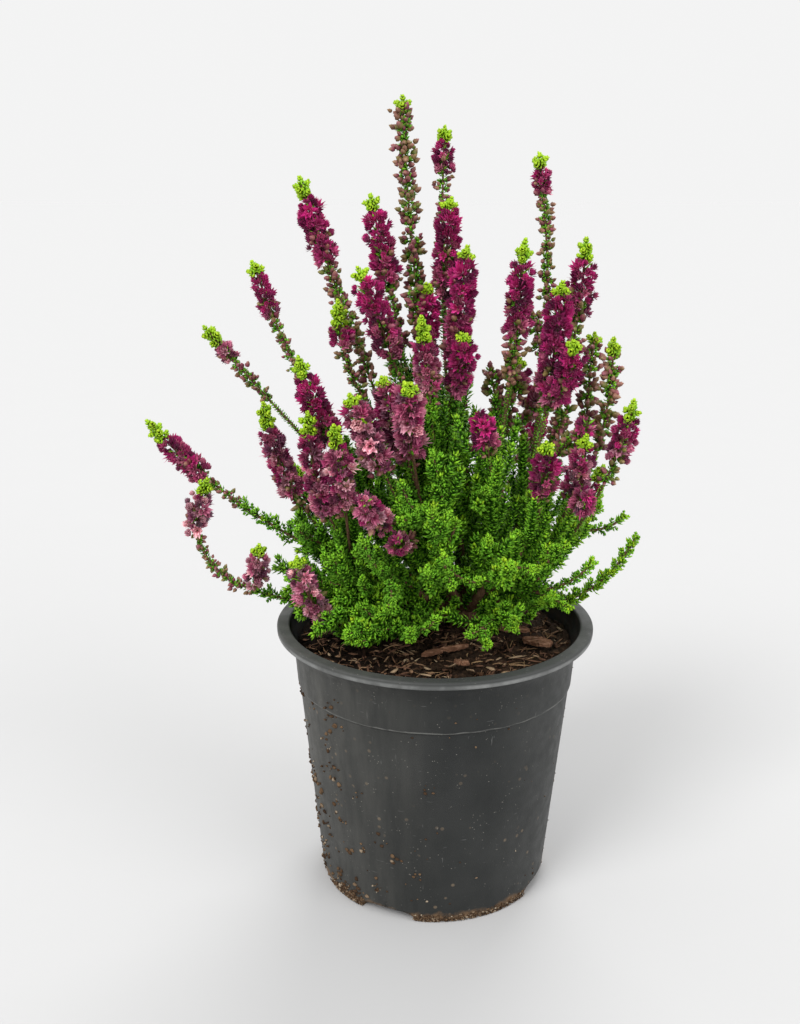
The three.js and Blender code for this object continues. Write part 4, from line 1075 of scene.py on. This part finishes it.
def upper_profile():
    """The pot's section from the lower wall up over the lip and down inside, as (r, z)."""
    rim, top, step = RIM_RADIUS, POT_HEIGHT, BAND_BOTTOM
    body = [(wall_radius(z), z) for z in np.linspace(8, step - 0.5, 14)]
    body += [*arc(BODY_TOP_RADIUS - 0.2, step + 0.3, 0.35, -20, 40, 3), (BAND_RADIUS - 0.12, step + 0.55)]
    band = [(BAND_RADIUS + (BAND_TOP_RADIUS - BAND_RADIUS) * t, step + 0.9 + 14.1 * t)
            for t in (0, *np.linspace(0.15, 1, 5))]
    flange = [(rim - 5.2, 97.4), (rim - 4.2, 99.4), (rim - 3.75, 101.2), *arc(rim - 3.0, 101.9, 0.6, 180, 90)]
    lip = [(rim - 1.5, 102.5), (rim - 1.2, 102.2), (rim - 1.2, 101.2),
           *arc(rim - 0.6, 101.45, 0.55, -160, -10, 5), *arc(rim - 0.9, 102.8, 0.9, 0, 90, 6),
           (rim - 2.5, top), (rim - 4.0, top), *arc(rim - FLANGE_WIDTH + 0.7, top - 0.7, 0.7, 90, 180)]
    inside = [(54.9, 101.5), (54.84, 100), (53.6, 97.6), (52.5, 95.5), (50.9, 84), (50.7, 80.5),
              (47.2, 45), (43.5, 5.2), (20, 5.2), (0, 5.2)]
    return body + band + flange + lip + inside, len(inside)


def pocket_height(angle):
    """How far the pot's foot is cut away at an angle, for the arched drain pockets."""
    step = 2 * math.pi / POCKETS
    off = (angle - math.radians(POCKET_FIRST_DEG) + step / 2) % step - step / 2
    across = math.tan(abs(off)) / math.tan(math.radians(POCKET_HALF_DEG))
    if across > 1 + 1e-6:
        return 0.0
    return 2 + (POCKET_HEIGHT - 2) * math.sqrt(max(0.0, 1 - across * across))


def make_pot():
    angles, cuts = [], []
    half = math.radians(POCKET_HALF_DEG)
    for k in range(POCKETS):
        middle = math.radians(POCKET_FIRST_DEG + 360 / POCKETS * k)
        pocket = np.linspace(middle - half, middle + half, POCKET_STEPS + 1)
        wall = np.linspace(pocket[-1], pocket[0] + math.radians(360 / POCKETS), WALL_STEPS + 1)[1:-1]
        angles += [pocket[0], *pocket, pocket[-1], *wall]
        cuts += [0.0, *(pocket_height(a) for a in pocket), 0.0, *np.zeros(len(wall))]
    upper, inner = upper_profile()
    rows = []
    for cut in cuts:
        low = [(wall_radius(max(cut, z)), max(cut, z)) for z in (FOOT_HEIGHT, 2.0, 3.0, POCKET_HEIGHT)]
        foot = [(0, 0), (POCKET_BACK, 0), (POCKET_BACK, cut), (wall_radius(cut) if cut else FOOT_RADIUS, cut)]
        rows.append(foot + low + upper)
    r, z = np.array(rows).T
    points = np.stack([r * np.cos(angles), r * np.sin(angles), z], axis=-1)
    kinds = np.repeat([0] * (len(r) - 1 - inner) + [1] * inner, len(angles))
    builder = Builder()
    builder.add(points, loop_faces(len(r), len(angles)), kinds)
    pot = builder.piece("nursery_pot", [pot_material(), dirty_wall_material()], "pot", "pot")
    form = bmesh.new()
    form.from_mesh(pot.data)
    bmesh.ops.remove_doubles(form, verts=form.verts, dist=1e-6)
    bmesh.ops.dissolve_degenerate(form, edges=form.edges, dist=1e-7)
    bmesh.ops.recalc_face_normals(form, faces=form.faces)
    form.to_mesh(pot.data)
    form.free()


def dirty_wall_material():
    """The wall's inside above the compost, dark with a film of wet earth."""
    look = Surface("dirty_grey_plastic", 0.7, 0.15)
    look.bump(look.noise(0.8, 3), 0.1)
    return look.done(look.mix(look.patches(4, 5, 0.4, 0.65), (0.012, 0.013, 0.0125), (0.022, 0.014, 0.009)))


def pot_material():
    """Dark grey moulded plastic, dusty on one side, scuffed, with dried splashes of compost, and with painted
    light on its right side and lip.
    """
    look = Surface("moulded_grey_plastic", 0.55, 0.22)
    height = look.times(look.axis(2), 1 / (POT_HEIGHT * MM))
    left = look.plus(look.times(look.axis(0), -9), 0.5)
    base = look.mix(look.noise(26, 3), (0.0125, 0.0138, 0.0136), (0.0185, 0.0198, 0.0194))
    dust = look.times(look.patches(6, 5, 0.3, 0.75, 0.25, stretch=(1, 1, 7), rough=0.62),
                      look.ramp(left, (0.45, 0.03), (0.98, 0.85)))
    base = look.mix(dust, base, (0.098, 0.096, 0.086))
    # Painted light: the right side of the pot is made a plain paler grey.
    base = look.mix(look.ramp(left, (0.06, 0.3), (0.32, 0.0)), base, (0.075, 0.077, 0.074))
    base = look.mix(look.times(look.patches(34, 4, 0.45, 0.7), 0.16), base, (0.07, 0.071, 0.068))
    # The parting line of the mould above the step, wavering and broken.
    line = look.math("SUBTRACT", look.times(look.axis(2), 1000), BAND_BOTTOM + 0.1)
    line = look.math("ABSOLUTE", look.math("SUBTRACT", line, look.times(look.noise(9, 2), 1.6)))
    line = look.times(look.ramp(line, (0.1, 1.0), (0.34, 0.0)), look.patches(5, 3, 0.38, 0.6, 0.1, 0.7))
    base = look.mix(line, base, (0.15, 0.15, 0.14))
    # Short pale scuffs, upright and level.
    for stretch, size, share in (((1, 1, 9), 0.9, 0.5), ((7, 7, 1), 0.8, 0.4)):
        scuff = look.times(look.patches(size, 2, 0.69, 0.74, stretch=stretch),
                           look.patches(12, 2, 0.5, 0.62, move=(size, 0, 0)))
        base = look.mix(look.times(scuff, share), base, (0.16, 0.16, 0.155))
    # Splashes of mud, denser low down and on the dusty side, and fine pale specks.
    where = look.plus(look.ramp(height, (0.0, 0.75), (0.9, 0.12)), look.ramp(left, (0.6, 0.0), (1.0, 0.6)))
    mud = look.times(look.spots(4.2, 0.12, 0.2), look.patches(13, 3, 0.53, 0.6))
    mud = look.times(mud, where, clamp=True)
    base = look.mix(mud, base, look.mix(look.noise(2, 2), (0.07, 0.045, 0.028), (0.24, 0.19, 0.13)))
    specks = look.times(look.spots(1.5, 0.09, 0.15), look.patches(7, 2, 0.52, 0.6, 0.0, 0.75))
    base = look.mix(specks, base, (0.2, 0.19, 0.165))
    # The lip is painted paler, as painted light on its top, with a broken painted highlight most along the
    # rounded edge that looks outwards and down.
    lip = look.times(look.ramp(height, (0.962, 0.0), (0.974, 1.0)), 0.32)
    base = look.mix(lip, base, (0.075, 0.078, 0.075))
    edge = look.ramp(height, (0.97, 0.0), (0.975, 1.0), (0.985, 1.0), (0.992, 0.0))
    edge = look.times(edge, look.times(look.patches(8, 4, 0.35, 0.62, 0.35), 0.75))
    base = look.mix(edge, base, (0.24, 0.245, 0.24))
    # Mud dried along the foot.
    foot = look.plus(look.times(look.axis(2), 55), look.times(look.noise(6, 4), 0.5))
    base = look.mix(look.ramp(foot, (0.36, 0.9), (0.48, 0.0)), base,
                    look.mix(look.noise(1.6, 3), (0.05, 0.03, 0.018), (0.2, 0.12, 0.06)))
    look.bump(look.plus(look.noise(0.5, 2), look.times(mud, 2)), 0.05)
    return look.done(base, look.patches(5, 4, 0.3, 0.75, 0.45, 0.68))


# ---------------------------------------------------------------- the compost

def soil_height(x, y):
    """The smooth surface that the part's compost has."""
    waves = 0.8 * np.sin(0.33 * x + 1.3) * np.cos(0.29 * y) + 0.5 * np.sin(0.71 * x - 0.57 * y)
    mound = 1.6 * np.exp(-((x - CROWN[0]) ** 2 + (y - CROWN[1]) ** 2) / 500)
    return SOIL_LEVEL + waves + mound - 0.8


def crumb_shapes(count):
    """Rough lumps about 1 unit across."""
    form = bmesh.new()
    bmesh.ops.create_icosphere(form, subdivisions=1, radius=0.5)
    base = np.array([v.co for v in form.verts])
    faces = [[v.index for v in f.verts] for f in form.faces]
    form.free()
    return [Shape(base * rng.uniform(0.5, 1.3, (len(base), 1)) * rng.uniform(0.65, 1.15, 3), faces,
                  base[:, 2] + 0.5) for _ in range(count)]


def soil_spots(n, out_to):
    """Random places on the compost."""
    r = out_to * np.sqrt(rng.random(n))
    a = rng.uniform(0, 2 * math.pi, n)
    return r * np.cos(a), r * np.sin(a)


def on_bark(x, y, margin):
    """Whether a place on the compost is under one of the bark chips."""
    covered = np.zeros(np.shape(x), bool)
    for long, wide, (cx, cy), turn, _ in BARK_CHIPS:
        way = math.radians(turn)
        along = (x - cx) * math.cos(way) + (y - cy) * math.sin(way)
        across = (y - cy) * math.cos(way) - (x - cx) * math.sin(way)
        covered |= (abs(along) < long / 2 + margin) & (abs(across) < wide / 2 + margin)
    return covered


def open_spots(n, out_to, margin):
    """Random places on the compost beside the bark, and how many they are."""
    x, y = soil_spots(n, out_to)
    bare = ~on_bark(x, y, margin)
    return x[bare], y[bare], int(bare.sum())


def make_dried_mud():
    """Crumbs of compost that stuck to the wall when wet, most on the left and along the foot."""
    builder = Builder()
    left, clump, lump_at = np.radians([-150, -91, -136])
    for shape in crumb_shapes(5):
        loose = np.c_[rng.uniform(-math.pi, math.pi, 26), 6 + 86 * rng.random(26) ** 1.4,
                      rng.uniform(0.3, 1.1, 26)]
        middle = np.c_[rng.normal(left + 0.12, 0.36, 11), 6 + 84 * rng.random(11) ** 1.2]
        middle = np.repeat(middle, 5, axis=0)
        side = np.c_[middle + rng.normal(0, (0.035, 1.8), (55, 2)), rng.uniform(0.4, 1.0, 55) ** 1.5 * 2.2]
        foot = np.c_[np.radians(rng.uniform(-98, -37, 130)), 0.4 + 2.8 * rng.random(130) ** 1.4,
                     rng.uniform(0.35, 0.95, 130)]
        foot[:30, 0] = rng.normal(clump, 0.06, 30)
        edge = np.c_[rng.uniform(-math.pi, math.pi, 70), rng.uniform(0.4, 1.4, 70), rng.uniform(0.3, 0.8, 70)]
        lump = np.c_[rng.normal(lump_at, 0.12, 70), np.abs(rng.normal(1.5, 2, 70)) + 0.5,
                     rng.uniform(0.5, 1.4, 70)]
        angle, z, size = np.concatenate([loose, side, foot, edge, lump]).T
        cut = np.array([pocket_height(a) for a in angle])
        keep = (z > cut + 0.3) & (z - size * 0.5 > 0.02)
        angle, z, size = angle[keep], z[keep], size[keep]
        n = len(z)
        out = np.c_[np.cos(angle), np.sin(angle), np.zeros(n)]
        place = out * column(outer_radius(z) + size * 0.1) + column(z) * UP
        sizes = (size * rng.uniform(0.7, 1.5, n), size * rng.uniform(0.7, 1.2, n), size * 0.7)
        builder.copies(shape, place, np.tile(UP, (n, 1)), out, sizes, 0, rng.random(n), rng.random(n))
    mud = dry_material("dried_mud", 0.95, 0.1, (0.5, 3), 0.15, (0.05, 0.03, 0.018), (0.7, 0.9, 3),
                       (0.0, 0.03, 0.018, 0.012), (0.5, 0.08, 0.046, 0.025), (0.8, 0.19, 0.12, 0.068),
                       (1.0, 0.48, 0.4, 0.3))
    builder.piece("dried_mud", [mud], "soil")


EARTH, FIBRE, PALE = 0, 1, 2
CRUMBS_EACH, FLAKES_EACH, FIBRES = 330, 280, 300


def make_compost():
    builder = Builder()
    rings, sides = 70, 180
    angle = turns(sides)
    share = column(np.linspace(0.004, 1, rings))
    x, y = SOIL_RADIUS * share * np.cos(angle), SOIL_RADIUS * share * np.sin(angle)
    rough = np.array([
        0.9 * noise.noise(Vector((a * 0.45, b * 0.45, 3))) + 0.6 * noise.noise(Vector((a * 1.3, b * 1.3, 7)))
        + 0.5 * noise.noise(Vector((a * 0.12, b * 0.12, 5)))
        for a, b in zip(x.ravel(), y.ravel())
    ]).reshape(x.shape)
    top = np.stack([x, y, soil_height(x, y) + rough], axis=-1)
    side = [np.c_[r * np.cos(angle), r * np.sin(angle), np.full(sides, h)]
            for r, h in ((50.4, 85), (50.2, 80), (43.2, 5.6), (0.2, 5.6))]
    builder.add([*top, *side], loop_faces(rings + len(side), sides)[:, ::-1], EARTH)
    for shape in crumb_shapes(6):
        x, y, n = open_spots(CRUMBS_EACH, SOIL_RADIUS - 1, 0.8)
        size = np.clip(rng.lognormal(-0.05, 0.5, n), 0.4, 3.2)
        place = np.c_[x, y, soil_height(x, y) + size * 0.22 + rng.uniform(0, 0.5, n)]
        along = unit(rng.normal(size=(n, 3)))
        across = unit(np.cross(along, rng.normal(size=(n, 3))))
        builder.copies(shape, place, across, np.cross(along, across), size, EARTH,
                       rng.random(n), rng.random(n))
    builder.piece("compost", ground_materials(), "soil", "soil")


# Pale splinters on the compost: place, length, width, direction and rise in degrees.
SPLINTERS = [
    (6.5, -33, 9, 2.2, -80, 30), (13, -37, 9, 2.4, -100, 32), (20, -30, 8, 2.2, -60, 8),
    (-3, -38, 7, 1.6, -30, 6), (30, -20, 8, 2, 15, 5), (-14, -34, 6, 1.5, 50, 8),
    (24, -36, 6, 1.8, 35, 12),
]


def make_litter():
    """Fibres, splinters and dry bits that lie on the compost."""
    builder = Builder()
    for _ in range(FIBRES):
        x, y = (value[0] for value in soil_spots(1, 49))
        long, turn = rng.uniform(2, 8), rng.uniform(0, 2 * math.pi)
        if on_bark(x, y, 2):
            continue
        half = np.array([math.cos(turn), math.sin(turn), rng.normal(0, 0.16)]) * long / 2
        middle = np.array([x, y, soil_height(x, y) + rng.uniform(0.4, 1.6)])
        bow = middle + np.array([rng.normal(0, 0.4), rng.normal(0, 0.4), abs(rng.normal(0.2, 0.3))])
        path = Path(middle - half, bow, middle + half)
        width = rng.uniform(0.08, 0.26)
        kind = FIBRE if rng.random() < 0.8 else PALE
        tube(builder, path, 0, path.length, width, kind, (rng.random(), 0.5, rng.random()), sides=5, step=2)
    for x, y, long, wide, turn, rise in SPLINTERS:
        way, up = math.radians(turn), math.radians(rise)
        along = np.array([math.cos(way) * math.cos(up), math.sin(way) * math.cos(up), math.sin(up)])
        side = np.array([-math.sin(way), math.cos(way), 0])
        place = np.array([x, y, soil_height(x, y) + 1 + long / 2 * math.sin(up)])
        builder.copies(crumb_shapes(1)[0], place[None], side[None], np.cross(along, side)[None],
                       (long * 1.1, wide * 1.2, 1.1), PALE, 0.93, 0.5)
    for shape in crumb_shapes(3):
        x, y, n = open_spots(FLAKES_EACH, SOIL_RADIUS - 2.2, 2)
        sizes = (rng.uniform(1.2, 7, n), rng.uniform(0.5, 1.7, n), rng.uniform(0.3, 0.7, n))
        turn = rng.uniform(0, math.pi, n)
        along = unit(np.c_[np.cos(turn), np.sin(turn), rng.normal(0, 0.2, n)])
        side = unit(np.cross(unit(np.c_[rng.normal(0, 0.25, (n, 2)), np.ones(n)]), along))
        place = np.c_[x, y, soil_height(x, y) + rng.uniform(0.5, 1.3, n)]
        builder.copies(shape, place, side, np.cross(along, side), sizes, PALE, rng.random(n), rng.random(n))
    builder.piece("litter", ground_materials(), "bark")


def dry_material(name, roughness, specular, grain, depth, stain, cover, *stops, stretch=(1, 1, 1)):
    """A dry crumb or fibre: colours by variety, with a darker stain over them."""
    look = Surface(name, roughness, specular)
    colour = look.ramp(look.tones()[0], *stops)
    look.bump(look.noise(*grain, stretch=stretch), depth)
    return look.done(look.stained(colour, stain, *cover))


def soil_material():
    look = Surface("compost_earth", 0.95, 0.12)
    colour = look.ramp(look.noise(1.8, 5, rough=0.65), (0.3, 0.006, 0.004, 0.0025),
                       (0.55, 0.026, 0.015, 0.009), (0.8, 0.085, 0.052, 0.03))
    colour = look.tinted(colour, look.ramp(look.tones()[0], (0.0, 0.45, 0.42, 0.4), (0.5, 1.0),
                                           (0.9, 1.8, 1.5, 1.3), (1.0, 3.6, 3.0, 2.4)))
    # Painted shade: the compost is darkened towards the left, where the foliage overhangs it, and painted
    # light makes it a little paler towards the right.
    across = look.plus(look.times(look.axis(0), 12), 0.5)
    look.bump(look.noise(0.7, 4), 0.4)
    return look.done(look.tinted(colour, look.ramp(across, (0.1, 0.3, 0.27, 0.25), (0.42, 1.0), (0.8, 1.25))))


def ground_materials():
    return [
        soil_material(),
        dry_material("coir_fibre", 0.85, 0.2, (0.5, 2), 0.15, (0.05, 0.03, 0.02), (0.5, 3, 3),
                     (0.0, 0.06, 0.03, 0.015), (0.5, 0.2, 0.11, 0.055), (1.0, 0.42, 0.27, 0.14),
                     stretch=(3, 1, 1)),
        dry_material("dry_chip", 0.8, 0.2, (0.8, 3), 0.25, (0.05, 0.028, 0.018), (0.6, 2, 4),
                     (0.0, 0.06, 0.024, 0.014), (0.5, 0.15, 0.075, 0.042), (0.85, 0.27, 0.16, 0.09),
                     (1.0, 0.5, 0.38, 0.24)),
    ]


def bark_material():
    look = Surface("pine_bark", 0.85, 0.2)
    layers = look.noise(1.1, 5, stretch=(4, 1, 1), rough=0.6)
    look.bump(layers, 0.5)
    return look.done(look.ramp(layers, (0.28, 0.05, 0.022, 0.012), (0.5, 0.17, 0.08, 0.045),
                               (0.75, 0.38, 0.22, 0.14)))


def make_bark_chip(index, long, wide, place, turn, slope):
    """A flake of bark in worn layers, where the part's plain chip lies."""
    a, b = long / 2, wide / 2
    corners = [(-a, -0.35 * b), (-0.6 * a, -b), (0.5 * a, -0.85 * b), (a, -0.2 * b),
               (0.75 * a, 0.75 * b), (-0.2 * a, b), (-0.85 * a, 0.55 * b)]
    ring = []
    for (px, py), (qx, qy) in zip(corners, corners[1:] + corners[:1]):
        steps = max(3, int(math.hypot(qx - px, qy - py) / 0.45))
        ring += [(px + (qx - px) * k / steps, py + (qy - py) * k / steps) for k in range(steps)]
    # The flake's section: share of its outline and share of its thickness.
    levels = [(0.0, 0.0), (0.45, 0.0), (0.8, 0.0), (0.96, 0.04), (1.0, 0.25), (0.99, 0.5), (1.0, 0.75),
              (0.95, 0.97), (0.8, 1.0), (0.6, 1.0), (0.4, 1.0), (0.2, 1.0), (0.0, 1.0)]
    points = np.array([(x * r, y * r, z * CHIP_THICKNESS) for r, z in levels for x, y in ring])
    tilt, way = -math.radians(slope), math.radians(turn)
    c, s = math.cos(tilt), math.sin(tilt)
    points = points @ np.array([[c, 0, s], [0, 1, 0], [-s, 0, c]]).T
    c, s = math.cos(way), math.sin(way)
    points = points @ np.array([[c, -s, 0], [s, c, 0], [0, 0, 1]]).T
    points += (*place, 0)
    points[:, 2] += max(0, np.max(soil_height(points[:, 0], points[:, 1]) - points[:, 2])) + FIT + 0.25
    for point in points:
        spot = Vector(point) * 0.7
        point[2] += 0.35 * noise.noise(spot) + 0.16 * noise.noise(spot * 3.1)
        point[:2] += 0.22 * noise.noise(spot * 1.9)
    builder = Builder()
    builder.add(points, loop_faces(len(levels), len(ring)))
    name = "bark_chip_%02d" % index
    builder.piece(name + "_bark", [bark_material()], "bark", name, smooth=False)


make_pot()
make_dried_mud()
make_compost()
make_litter()
for number, chip in enumerate(BARK_CHIPS, 1):
    make_bark_chip(number, *chip)


# ---------------------------------------------------------------- floor, light and camera

SKY = 0.9
LAMPS = [
    ("key", (-0.7, -0.9, 1.25), 2.1, 28),
    ("fill", (1.0, -0.7, 0.75), 1.25, 40),
    ("back", (0.2, 0.9, 1.1), 1.5, 32),
]
AIM = Vector((0, 0, 0.15))
CAMERA_PLACE, CAMERA_YAW, CAMERA_PITCH, CAMERA_LENS = (0, -0.4, 0.2605), -0.033, 0.2797, 39.24
FLOOR_SIDES, FLOOR_RADIUS = 64, 30.0


def make_floor():
    """A plain pale floor, as bright as the sky that it meets far away."""
    lit = sum(strength * (Vector(place) - AIM).normalized().z for _, place, strength, _ in LAMPS) / math.pi
    tone = SKY / (SKY + lit)
    points = [(FLOOR_RADIUS * math.cos(a), FLOOR_RADIUS * math.sin(a), 0) for a in turns(FLOOR_SIDES)]
    mesh = bpy.data.meshes.new("studio_floor")
    mesh.from_pydata(points, [], [tuple(range(FLOOR_SIDES))])
    look = Surface("studio_paper", 1.0, 0.0)
    mesh.materials.append(look.done(look.mix(look.noise(60, 2), (tone * 0.995,) * 3, (tone * 1.005,) * 3)))
    linked(bpy.data.objects.new("studio_floor", mesh))


def make_light():
    """An even sky and three wide soft lamps, all white."""
    bpy.context.scene.view_settings.view_transform = "Standard"
    world = bpy.data.worlds.new("studio")
    world.use_nodes = True
    world.node_tree.nodes["Background"].inputs[0].default_value = (1, 1, 1, 1)
    world.node_tree.nodes["Background"].inputs[1].default_value = SKY
    bpy.context.scene.world = world
    for name, place, strength, softness in LAMPS:
        data = bpy.data.lights.new(name, "SUN")
        data.energy, data.angle = strength, math.radians(softness)
        lamp = linked(bpy.data.objects.new(name, data))
        lamp.location = place
        lamp.rotation_euler = (AIM - Vector(place)).to_track_quat("-Z", "Y").to_euler()


def make_camera():
    camera = linked(bpy.data.objects.new("camera", bpy.data.cameras.new("camera")))
    level = math.cos(CAMERA_PITCH)
    heading = Vector((math.sin(CAMERA_YAW) * level, math.cos(CAMERA_YAW) * level, -math.sin(CAMERA_PITCH)))
    camera.location = CAMERA_PLACE
    camera.rotation_euler = heading.to_track_quat("-Z", "Y").to_euler()
    camera.data.lens = CAMERA_LENS
    camera.data.sensor_width = 36
    bpy.context.scene.camera = camera


make_floor()
make_light()
make_camera()
